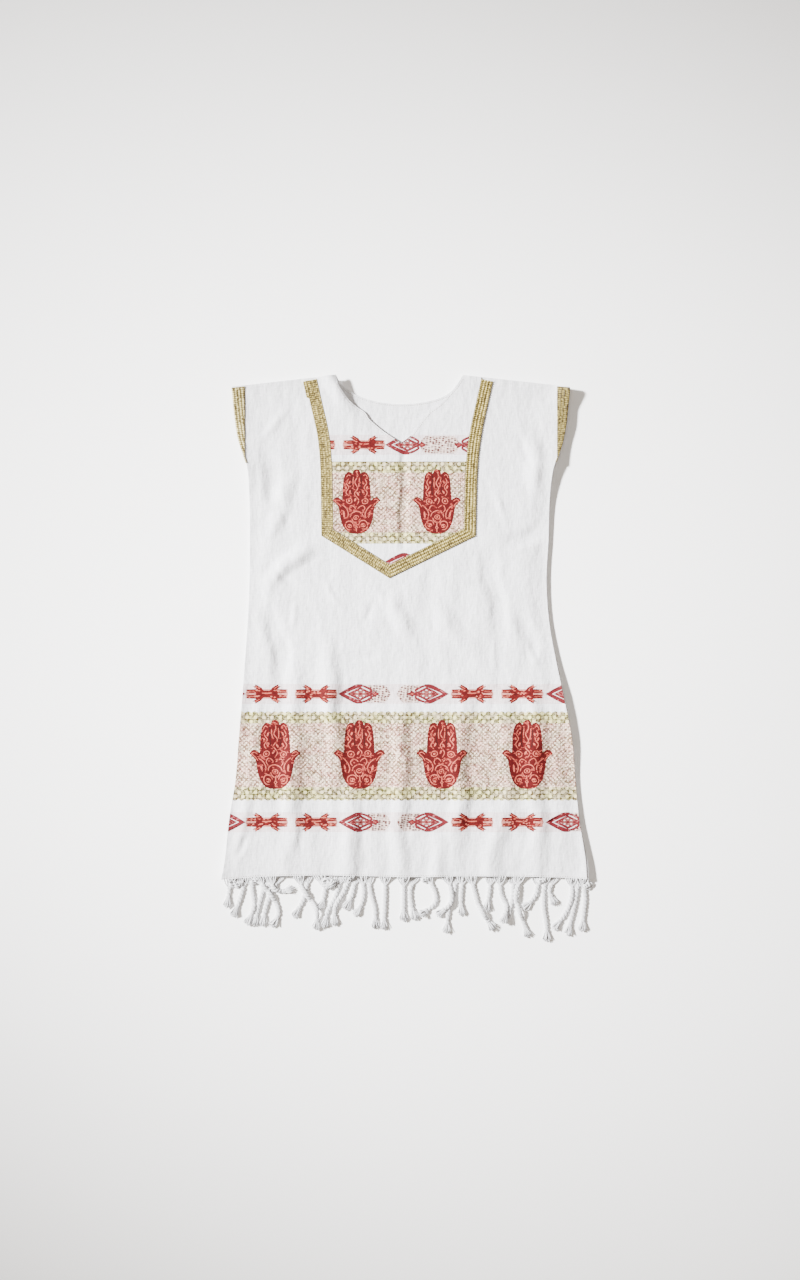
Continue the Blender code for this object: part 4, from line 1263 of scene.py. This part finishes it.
def mitred_rows(line, start_turn, end_turn, offsets):
    """Lay rows of points across one stretch of braid, its ends cut to their mitres."""
    along = lengths_along(line)
    ahead, left = directions(line)
    near_start = np.clip(1 - along / MITRE_REACH, 0, 1) * math.tan(start_turn)
    near_end = np.clip(1 - (along[-1] - along) / MITRE_REACH, 0, 1) * math.tan(end_turn)
    shear = offsets[None, :] * (near_start - near_end)[:, None]
    places = line[:, None] + left[:, None] * offsets[None, :, None]
    return places + ahead[:, None] * shear[:, :, None], along[:, None] + shear


# The braid's relief, in shares of its height: its body, its ribs, and the loops on them
BODY_SHARE = 0.4
RIB_SHARE = 0.22
LOOP_SHARE = 0.38
LOOP_SLANT = 1.6

# How quickly the loops' heights vary along the braid, from one rib to the next, and slowly again
LOOP_VARIES = 1.31
RIB_VARIES = 2.1
SLOW_VARIES = 0.37

# Its two edges are bound down to this share
BOUND_SHARE = 0.35


def braid_loft(across, along):
    """Give the braid's own relief: slanted loops in ribs, no two of quite the same height."""
    rib = np.abs(np.sin(math.pi * across / RIB)) ** 0.6
    slant = LOOP_SLANT * np.abs(np.cos(math.pi * across / RIB))
    loops = 0.5 + 0.5 * np.sin(2 * math.pi * (along + slant) / STITCH)
    own = np.sin(LOOP_VARIES * along + RIB_VARIES * np.floor(across / RIB))
    own = 0.5 + 0.5 * own * np.sin(SLOW_VARIES * along)
    return BRAID_WALL * (BODY_SHARE + RIB_SHARE * rib + LOOP_SHARE * rib * loops * own)


def braid_mesh(name, stretches, base, material, under=False):
    """Make a band of braid from rows of places, with its ribs standing on a surface."""
    verts, faces, lie, first = [], [], [], 0
    for places, across, along in stretches:
        rows, columns = places.shape[:2]
        count = rows * columns
        x, y = places[:, :, 0].ravel(), places[:, :, 1].ravel()
        rim = np.minimum(np.arange(columns), np.arange(columns)[::-1]) == 0
        loft = braid_loft(across, along) * np.where(rim, BOUND_SHARE, 1.0)
        foot = base(x, y)
        top = foot + (-loft if under else loft).ravel()
        verts += [np.column_stack([x, y, top]), np.column_stack([x, y, foot])]
        lie += 2 * [np.column_stack([across.ravel(), along.ravel()])]
        index = first + np.arange(count).reshape(rows, columns)
        a, b, c, d = index[:-1, :-1], index[:-1, 1:], index[1:, 1:], index[1:, :-1]
        quads = np.stack([a, b, c, d], axis=-1).reshape(-1, 4)
        loop = [*index[0, :-1], *index[:-1, -1], *index[-1, :0:-1], *index[:0:-1, 0]]
        loop = np.array(loop)
        onward = np.roll(loop, -1)
        walls = np.column_stack([onward, loop, loop + count, onward + count])
        shell = np.vstack([quads, quads[:, ::-1] + count, walls])
        faces += (shell[:, ::-1] if under else shell).tolist()
        first += 2 * count
    mesh = smooth_mesh(name, verts, faces, [material])
    uv = mesh.uv_layers.new(name="lie")
    corners = np.empty(len(mesh.loops), int)
    mesh.loops.foreach_get("vertex_index", corners)
    uv.data.foreach_set("uv", np.vstack(lie)[corners].ravel())
    return finish_piece(name, mesh)


# The way between two rows of the braid's mesh, and how many points lie across it
BRAID_STEP = 0.85
BRAID_COLUMNS = 25
CUFF_COLUMNS = 22

# The way over which the strap's turned end widens
TURN_WIDENS = 1.5


def add_plastron_braid(material):
    """Make the band of braid down both sides of the plastron and round its point."""
    offsets = np.linspace(BRAID_WIDTH / 2, -BRAID_WIDTH / 2, BRAID_COLUMNS)
    stretches = []
    for i, (line, start_turn, end_turn) in enumerate(braid_stretches(BRAID_STEP)):
        places, along = mitred_rows(line, start_turn, end_turn, offsets)
        across = np.broadcast_to(BRAID_WIDTH / 2 - offsets, places.shape[:2])
        if i == 0:
            turned = ease((places[:, :, 1] - (STRAPS[-1].y - FOLDED_END)) / TURN_WIDENS)
            places[:, :, 0] -= turned * FOLDED_EXTRA * across / BRAID_WIDTH
        stretches.append((places, across, along))
    braid = braid_mesh("plastron_galloon", stretches, braid_foot, material)
    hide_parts("plastron_braid")
    return braid


def cuff_rows(side):
    """Lay the rows of an armhole's braid, which narrows as it turns under at the underarm."""
    heights = np.arange(CUFF_FOOT, CAP_LEFT.y - CUFF_END_GAP, BRAID_STEP)
    edge = side_edges(heights)[0 if side < 0 else 1]
    width = CUFF_LEFT_LINE - edge if side < 0 else edge - CUFF_RIGHT_LINE
    width = np.maximum(CUFF_LEAST, width)
    across = width[:, None] * np.linspace(0.0, 1.0, CUFF_COLUMNS)[None, :]
    x = edge[:, None] - side * (across - CUFF_OVERHANG)
    share = (heights[:, None] - CUFF_FOOT) / (heights[-1] - CUFF_FOOT)
    y = heights[:, None] + share * (shoulder_line(x) - CAP_LEFT.y)
    along = np.broadcast_to(heights[:, None], x.shape)
    places = np.stack([x, y], axis=-1)
    if side < 0:
        return places[::-1], across[::-1], along[::-1]
    return places, across, along


def add_cuffs(left_braid, right_braid):
    """Make the braid on each armhole edge, on the front's face and under the back."""
    cuffs = []
    for side, hand_side, material in ((-1, "left", left_braid), (1, "right", right_braid)):
        for layer, base in (("front", braid_foot), ("back", under_back)):
            name = "armhole_galloon_%s_%s" % (hand_side, layer)
            cuff = braid_mesh(name, [cuff_rows(side)], base, material, under=layer == "back")
            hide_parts("cuff_braid_%s_%s" % (hand_side, layer))
            cuffs.append(cuff)
    return cuffs


# A place on a strand, with how far along the strand it lies
Station = namedtuple("Station", "s x y")
ROUTE_STEP = 1.2


def smooth_route(points):
    """Read a strand's route from a smooth curve through its points."""
    lengths = lengths_along(points)
    stations = [Station(s, x, y) for s, (x, y) in zip(lengths, points)]
    marks = np.linspace(0.0, lengths[-1], round(lengths[-1] / ROUTE_STEP) + 1)
    return np.column_stack([read_off(stations, "s", column, marks) for column in ("x", "y")])


def strand_radius(travelled, length):
    """Give a strand's radius: thin at its root, bound before its tuft and flared at its end."""
    grown = ease((travelled - FRINGE_STRIP) / ROOT_LENGTH)
    grown = ROOT_RADIUS + (CORD_RADIUS - ROOT_RADIUS) * grown
    left = length - travelled
    flared = TUFT_RADIUS + (BINDING_RADIUS - TUFT_RADIUS) * (left / TUFT_LENGTH)
    bound = ease(1 - (left - TUFT_LENGTH) / BINDING_LENGTH)
    cord = CORD_RADIUS + (BINDING_RADIUS - CORD_RADIUS) * bound
    early = travelled < FRINGE_STRIP + ROOT_LENGTH
    return np.where(early, grown, np.where(left < TUFT_LENGTH, flared, cord))


def strand_rings(points, root_height):
    """Lay one strand on the surface, coming down from its root."""
    route = smooth_route(points)
    travelled = lengths_along(route)
    radius = strand_radius(travelled, travelled[-1])
    resting = radius + SEAM_GAP
    settled = ease((travelled - FRINGE_STRIP) / ROOT_LENGTH)
    height = np.maximum(resting, root_height + (resting - root_height) * settled)
    return np.column_stack([route, height, radius])


def gaps_between(rings, others):
    """Give the way on the floor from each of a strand's rings to each of the others."""
    across, up = (rings[:, None, axis] - others[None, :, axis] for axis in (0, 1))
    return np.hypot(across, up)


def lift_over(rings, others):
    """Raise a strand where it crosses others, and ease it down on both sides."""
    reach = rings[:, None, 3] + others[None, :, 3] + CROSSING_CLEARANCE
    away = gaps_between(rings, others)
    over = others[None, :, 2] + np.sqrt(np.maximum(reach**2 - away**2, 0.0))
    lifted = np.maximum(rings[:, 2], np.where(away < reach, over, 0.0).max(axis=1))
    gaps = gaps_between(rings, rings)
    rings[:, 2] = (lifted[None, :] - CROSSING_SLOPE * gaps).max(axis=1)
    return rings


# A strand is twisted from two plies and lies pressed flat. They run on a little into its tuft
TWIST_PITCH = 12.0
PLY_SHARE = 0.61
PLY_SIDES = 8
CORD_FLATNESS = 0.42
PLY_RUNS_ON = 2.0

# Yarn is wound round it where the tuft starts
WRAPS = (-1.3, 0.0, 1.3)
WRAP_RADIUS = 0.75
WRAP_LEAST = 0.9
WRAP_CLEARANCE = 0.2

# Fibres of the tuft. A real one is far finer, and these stand for a bundle of them each
TUFT_FIBRES = 40
FIBRE_RADIUS = 0.85
FIBRE_SIDES = 4
FIBRE_LEAST = 1.0
FIBRE_LENGTHS = (0.86, 1.06)
FIBRE_TAPER = 0.4
FIBRE_STRAYS = 0.25
TUFT_ROOT = 2.0
OUTER_SHORTER = 0.26


def frayed_end(foot, ahead, side, up, bow, rng):
    """Spread a tuft's fibres from where its strand is bound, the outer ones shorter."""
    share = np.linspace(0.0, 1.0, 5)[:, None]
    tubes = []
    for _ in range(TUFT_FIBRES):
        angle, out = rng.uniform(0, 2 * math.pi), math.sqrt(rng.uniform(0.02, 1))
        reach = rng.uniform(*FIBRE_LENGTHS) * TUFT_LENGTH * (1.0 - OUTER_SHORTER * out**2)
        spread = out * (TUFT_ROOT + (TUFT_RADIUS - 1.0) * share**0.8)
        spread = spread + rng.normal(0, FIBRE_STRAYS) * share**2
        path = foot + ahead * share * reach + bow * share**1.5
        path = path + spread * (math.cos(angle) * side + math.sin(angle) * up)
        path[:, 2] = np.maximum(path[:, 2], FIBRE_LEAST)
        radii = FIBRE_RADIUS * (1.0 - FIBRE_TAPER * share[:, 0])
        tubes.append(Tube(path, radii, FIBRE_SIDES))
    return tubes


def strand_tubes(rings, rng):
    """Twist two plies into a strand, bind it and fray its end."""
    line, radius = rings[:, :3].copy(), rings[:, 3]
    steps = np.linalg.norm(np.diff(line, axis=0), axis=1)
    travelled = np.concatenate([[0.0], np.cumsum(steps)])
    line[:, 2] *= 1 - (1 - CORD_FLATNESS) * ease(travelled / ROOT_LENGTH)
    ahead, side, up = across_line(line)
    up = up * CORD_FLATNESS
    cord = travelled < travelled[-1] - TUFT_LENGTH + PLY_RUNS_ON
    tubes = []
    start = rng.uniform(0, 2 * math.pi)
    swing = (radius * (1 - PLY_SHARE))[:, None]
    for ply in (0.0, math.pi):
        turn = (start + ply + 2 * math.pi * travelled / TWIST_PITCH)[:, None]
        path = line + swing * (np.cos(turn) * side + np.sin(turn) * up)
        tubes.append(Tube(path[cord], (radius * PLY_SHARE)[cord], PLY_SIDES, CORD_FLATNESS))
    knot = int(np.argmax(travelled > travelled[-1] - TUFT_LENGTH))
    turn = np.linspace(0, 2 * math.pi, 11)[:, None]
    round_it = np.cos(turn) * side[knot] + np.sin(turn) * up[knot]
    round_it *= radius[knot] + WRAP_CLEARANCE
    for wrap in WRAPS:
        ring = line[knot] + ahead[knot] * wrap + round_it
        ring[:, 2] = np.maximum(ring[:, 2], WRAP_LEAST)
        tubes.append(Tube(ring, WRAP_RADIUS, 5))
    bow = line[-1] - line[knot] - ahead[knot] * TUFT_LENGTH
    return tubes + frayed_end(line[knot], ahead[knot], side[knot], up[knot], bow, rng)


# Warp ends that run together into a strand: where each leaves the hem, and where they have met
WARP_LEANS = (-8.5, -5.0, -1.8, 1.6, 4.8, 8.2)
WARP_MEETS = 12.0
WARP_RADIUS = 1.0
WARP_START = 0.4
WARP_BULGE = 0.2
WARP_SAG = 1.6
WARP_LEAST = 1.2


def warp_ends(rings, rng):
    """Gather the warp ends from the hem into the start of a strand."""
    far = np.hypot(*(rings[:, :2] - rings[0, :2]).T)
    joined = rings[int(np.argmax(far > WARP_MEETS))].copy()
    joined[2] *= CORD_FLATNESS
    share = np.linspace(0.0, 1.0, 6)[:, None]
    bulge = np.sin(math.pi * share[:, 0])
    tubes = []
    for lean in WARP_LEANS:
        x = rings[0, 0] + lean + rng.uniform(-1.0, 1.0)
        start = np.array([x, float(hem_line(x)) + WARP_START, rings[0, 2]])
        path = start + (joined[:3] - start) * share
        path[:, 0] += WARP_BULGE * lean * bulge
        path[:, 2] = np.maximum(path[:, 2] - WARP_SAG * bulge, WARP_LEAST)
        tubes.append(Tube(path, WARP_RADIUS, 5))
    return tubes


# Yarn knotted on itself under the hem: where, and its reach across and down
Tangle = namedtuple("Tangle", "x y across high")
TANGLES = [
    Tangle(-258.0, -336.0, 7.5, 5.5),
    Tangle(-249.0, -338.5, 6.5, 5.0),
    Tangle(-226.0, -333.5, 7.0, 4.0),
    Tangle(-206.0, -343.0, 9.0, 6.5),
    Tangle(-120.0, -334.0, 9.5, 6.0),
    Tangle(-108.0, -335.5, 8.0, 5.5),
    Tangle(30.0, -331.5, 6.0, 4.0),
    Tangle(205.0, -333.0, 8.0, 4.0),
    Tangle(274.0, -339.0, 5.5, 5.5),
]

# Each knot's turns, its yarn's radius, and how its turns shrink, vary, stray and climb
TANGLE_TURNS = 4
TANGLE_YARN = 1.15
TANGLE_SHRINKS = 0.17
TANGLE_VARIES = 0.14
TANGLE_STRAYS = Point(0.8, 0.6)
TANGLE_FOOT = 2.0
TANGLE_CLIMBS = 0.8
TANGLE_WAVES = 0.7


def knotted_yarn(rng):
    """Wind loose yarn into small knots under the hem, each turn smaller than the last."""
    tubes = []
    for tangle in TANGLES:
        for turn in range(TANGLE_TURNS):
            angle = rng.uniform(0, 6) + np.linspace(0, 2.3 * math.pi, 20)
            size = 1.0 + TANGLE_VARIES * np.sin(3 * angle + turn)
            size *= 1.0 - TANGLE_SHRINKS * turn
            x = tangle.x + rng.normal(0, TANGLE_STRAYS.x) + tangle.across * size * np.cos(angle)
            y = tangle.y + rng.normal(0, TANGLE_STRAYS.y) + tangle.high * size * np.sin(angle)
            z = TANGLE_FOOT + TANGLE_CLIMBS * turn + TANGLE_WAVES * np.sin(2 * angle)
            tubes.append(Tube(np.column_stack([x, y, z]), TANGLE_YARN, 6))
    return tubes


def rooted(points):
    """Start a strand in the middle of the strip along the hem."""
    x = points[0][0]
    return [(x, float(hem_line(x)) - SEAM_GAP - FRINGE_STRIP / 2)] + points[1:]


# The seed of everything that lies by chance in the fringes
SEED = 7


def add_fringes(material):
    """Make the back's fringe on the surface, and the front's crossing over it."""
    rng = np.random.default_rng(SEED)
    under, over = [], []
    for points in BACK_STRANDS:
        x = points[0][0]
        foot = float(back_face(x, hem_line(x))) - CLOTH
        under.append(strand_rings(rooted(points), foot + ROOT_RADIUS + SEAM_GAP))
    others = np.vstack(under)
    for points in FRONT_STRANDS:
        x = points[0][0]
        rings = strand_rings(rooted(points), float(front_foot(x, hem_line(x))) + CLOTH / 2)
        over.append(lift_over(rings, others))
    layers = [("fringe_cords_back", under, "fringe_back")]
    layers.append(("fringe_cords_front", over, "fringe_front"))
    fringes = []
    for name, strands, node in layers:
        tubes = []
        for rings in strands:
            tubes += strand_tubes(rings, rng)
            tubes += warp_ends(rings, rng)
        if node == "fringe_front":
            tubes += knotted_yarn(rng)
        fringe = tube_mesh(name, tubes, material)
        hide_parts(node)
        fringes.append(fringe)
    return fringes


# Rows of stitches: the way from one to the next, a stitch's length and its thread's radius
Sewing = namedtuple("Sewing", "pitch length radius")
BACK_NECK_SEWING = Sewing(3.2, 2.0, 0.35)
FRONT_NECK_SEWING = Sewing(3.2, 2.0, 0.3)
HEM_SEWING = Sewing(3.6, 2.2, 0.35)
BRAID_SEWING = Sewing(3.4, 2.0, 0.35)

# How far in from its edge each row runs, and how far from its ends it stops
NECK_INSET = 2.6
HEM_INSET = 2.0
BRAID_INSET = 1.1
BACK_NECK_ENDS = 6.0
FRONT_NECK_ENDS = 3.0
HEM_ENDS = 4.0

# The braid's stitches sink into it, down to this share of its height
SUNK_SHARE = 0.75


def stitches(line, height, sewing):
    """Sew a row of short running stitches along a line."""
    middles = resample(line, sewing.pitch)
    reach = sewing.length * np.array([-0.5, 0.0, 0.5])[None, :, None]
    paths = middles[:, None] + directions(middles)[0][:, None] * reach
    z = height(paths[..., 0].ravel(), paths[..., 1].ravel()).reshape(-1, 3)
    z += (0.0, sewing.radius, 0.0)
    paths = np.concatenate([paths, z[..., None]], axis=2)
    return [Tube(path, sewing.radius, 4) for path in paths]


def neck_run(rows, line, ends):
    """List a neckline's places, moved in from the edge."""
    x = np.linspace(rows[0].x + ends, rows[-1].x - ends, NECK_PLACES)
    edge = np.column_stack([x, line(x)])
    return edge - NECK_INSET * directions(edge)[1]


def on_braid(x, y):
    """Give the height at which stitches lie on the braid."""
    return braid_foot(x, y) + SUNK_SHARE * BRAID_WALL


# The plastron and the stitches follow the braid in coarser steps than its own mesh
SEWING_STEP = 3.0


def shoulder_run(start, end):
    """List places on a shoulder, between the braid and the neck."""
    x = np.linspace(start, end, SHOULDER_PLACES)
    return np.column_stack([x, shoulder_line(x)])


def plastron_outline(step):
    """List the plastron's outline, a seam's gap inside the braid and under the neck's edge."""
    inner = np.array([BRAID_WIDTH / 2 + SEAM_GAP])
    stretches = braid_stretches(SEWING_STEP)
    rows = [mitred_rows(line, start, end, inner)[0][:, 0] for line, start, end in stretches]
    sides = np.vstack([row[:-1] for row in rows[:-1]] + [rows[-1]])
    left_x, right_x = sides[0, 0], sides[-1, 0]
    top = [
        shoulder_run(right_x, NECK_RIGHT.x),
        top_run(front_top, NECK_RIGHT.x, NECK_TIP.x, PLASTRON_TOP_PLACES),
        top_run(front_top, NECK_TIP.x, NECK_LEFT.x, PLASTRON_TOP_PLACES),
        shoulder_run(NECK_LEFT.x, left_x),
    ]
    upper = np.vstack([resample(run - (0.0, SEAM_GAP), step)[:-1] for run in top])
    return np.vstack([resample(sides, step)[:-1], upper])


def add_stitching(white, gold):
    """Sew the necklines, the hem and both edges of the plastron's braid."""
    back_run = neck_run(BACK_NECK, back_top, BACK_NECK_ENDS)
    rows = stitches(back_run, back_face, BACK_NECK_SEWING)
    for half in (FRONT_NECK_LEFT, FRONT_NECK_RIGHT):
        half_run = neck_run(half, front_top, FRONT_NECK_ENDS)
        rows += stitches(half_run, plastron_face, FRONT_NECK_SEWING)
    x = np.linspace(SIDES[0].left + HEM_ENDS, SIDES[0].right - HEM_ENDS, HEM_PLACES)
    hem = np.column_stack([x, hem_line(x) + HEM_INSET])
    rows += stitches(hem, front_face, HEM_SEWING)
    edges = []
    reach = BRAID_WIDTH / 2 - BRAID_INSET
    for line, start, end in braid_stretches(SEWING_STEP):
        for offset in (-reach, reach):
            row = mitred_rows(line, start, end, np.array([offset]))[0][:, 0]
            edges += stitches(row, on_braid, BRAID_SEWING)
    return [tube_mesh("white_stitching", rows, white), tube_mesh("gold_stitching", edges, gold)]


# How finely each piece's edge and its net are divided. The back, which hardly shows, is coarser
FRONT_STEP = 4.0
BACK_EDGE_STEP = 5.0
BACK_NET_STEP = 7.0
PLASTRON_STEP = 3.0


def add_garment():
    """Make the whole garment on its frame."""
    gold = braid_material("gold_knitted_galloon", "#B4A468", "#75672D", "#2E220C")
    # The right armhole's braid is a darker copy of the gold: painted shade where its edge slopes
    # away from the lamp
    shaded_cuff_braid = braid_material("gold_galloon_painted_shade", "#9A8C56", "#655826", "#281D0A")
    # The left armhole's braid is a paler copy of the gold
    paler_cuff_braid = braid_material("gold_galloon_paler_copy", "#C4B884", "#8B7E4C", "#43361A")
    gold_thread = yarn_material("gold_sewing_thread", "#9A8C58", "#5E5128")
    white_thread = yarn_material("white_sewing_thread", "#C9C0BC", "#978B86")
    # The cord is painted greyer than white cotton: painted shade
    cord = yarn_material("cotton_cord_painted_grey_shade", "#D8D8DB", "#AAAAAB")
    right, left = [CAP_RIGHT.x, NECK_RIGHT.x], [NECK_LEFT.x, CAP_LEFT.x]
    front_line = panel_outline(side_edges, front_top, [*right, NECK_TIP.x, *left], FRONT_STEP)
    back_line = panel_outline(back_edges, back_top, [*right, *left], BACK_EDGE_STEP)
    plastron_line = plastron_outline(PLASTRON_STEP)
    back = woven_shell("back_cloth", back_line, BACK_NET_STEP, panel_borders(), back_face)
    front = woven_shell("front_cloth", front_line, FRONT_STEP, panel_borders(), front_face)
    borders = plastron_borders()
    plastron = woven_shell("plastron_cloth", plastron_line, PLASTRON_STEP, borders, plastron_face)
    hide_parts("back_panel")
    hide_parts("front_panel")
    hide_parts("plastron")
    galloon = add_plastron_braid(gold)
    cuffs = add_cuffs(paler_cuff_braid, shaded_cuff_braid)
    fringe_back, fringe_front = add_fringes(cord)
    white_rows, gold_rows = add_stitching(white_thread, gold_thread)


# The stage is measured in metres
FLOOR_REACH = 8.0


def add_floor():
    """Lay the garment on a wide sheet of pale paper."""
    mesh = bpy.data.meshes.new("floor")
    half = FLOOR_REACH
    corners = [(-half, -half, 0), (half, -half, 0), (half, half, 0), (-half, half, 0)]
    mesh.from_pydata(corners, [], [(0, 1, 2, 3)])
    mesh.materials.append(paper_material("pale_studio_paper", "#FBFBFB", "#F8F8F8"))
    floor = bpy.data.objects.new("floor", mesh)
    bpy.context.scene.collection.objects.link(floor)


def add_lamp(name, kind, place, target, power, **settings):
    """Hang a lamp, turned to a place."""
    lamp = bpy.data.lights.new(name, kind)
    lamp.energy = power
    for setting, value in settings.items():
        setattr(lamp, setting, value)
    holder = bpy.data.objects.new(name, lamp)
    holder.location = place
    holder.rotation_euler = (Vector(target) - Vector(place)).to_track_quat("-Z", "Y").to_euler()
    holder.visible_camera = False
    bpy.context.scene.collection.objects.link(holder)
    return holder


# Distances are in metres, the key lamp's height and its cone in degrees, and powers in watts
KEY_DISTANCE = 9.0
KEY_HEIGHT = 30.0
KEY_CONE = 16.5
KEY_FROM = (-0.952, 0.307)
KEY_CENTRE = (-0.02, 0.01, 0.0)
KEY_SQUEEZE = 0.57
KEY_RADIUS = 0.5
KEY_POWER = 37000.0
SOFTBOX_PLACE = (0.0, 0.2, 4.4)
SOFTBOX_SIZE = 2.4
SOFTBOX_POWER = 70.0
ROOM_LIGHT = "#FFF3E6"
ROOM_STRENGTH = 0.345


def add_light():
    """Light it with one low lamp from the upper left, a soft one above and a warm room."""
    level = KEY_DISTANCE * math.cos(math.radians(KEY_HEIGHT))
    drop = KEY_DISTANCE * math.sin(math.radians(KEY_HEIGHT))
    place = (KEY_FROM[0] * level, KEY_FROM[1] * level, drop)
    cone = {
        "spot_size": math.radians(KEY_CONE),
        "spot_blend": 1.0,
        "shadow_soft_size": KEY_RADIUS,
    }
    key = add_lamp("key_lamp", "SPOT", place, KEY_CENTRE, KEY_POWER, **cone)
    key.scale.y = KEY_SQUEEZE
    warm = {"size": SOFTBOX_SIZE, "color": to_linear(ROOM_LIGHT)}
    middle = (0.0, 0.0, 0.0)
    add_lamp("overhead_softbox", "AREA", SOFTBOX_PLACE, middle, SOFTBOX_POWER, **warm)
    world = bpy.data.worlds.new("studio")
    world.use_nodes = True
    background = world.node_tree.nodes["Background"]
    background.inputs["Color"].default_value = colour(ROOM_LIGHT)
    background.inputs["Strength"].default_value = ROOM_STRENGTH
    bpy.context.scene.world = world


# The lens and the sensor's width are in millimetres. The frame is this high, in metres
LENS = 70.0
SENSOR = 36.0
FRAME_HEIGHT = 1.92
FRAME_MIDDLE = (-0.0075, 0.02775)
FARTHEST = 50.0


def add_camera():
    """Look straight down, with the garment a little below the frame's middle line."""
    camera = bpy.data.cameras.new("camera")
    camera.lens = LENS
    camera.sensor_width = SENSOR
    camera.clip_end = FARTHEST
    holder = bpy.data.objects.new("camera", camera)
    holder.location = (*FRAME_MIDDLE, FRAME_HEIGHT * LENS / SENSOR)
    bpy.context.scene.collection.objects.link(holder)
    bpy.context.scene.camera = holder


add_camera()
add_floor()
add_light()
add_garment()
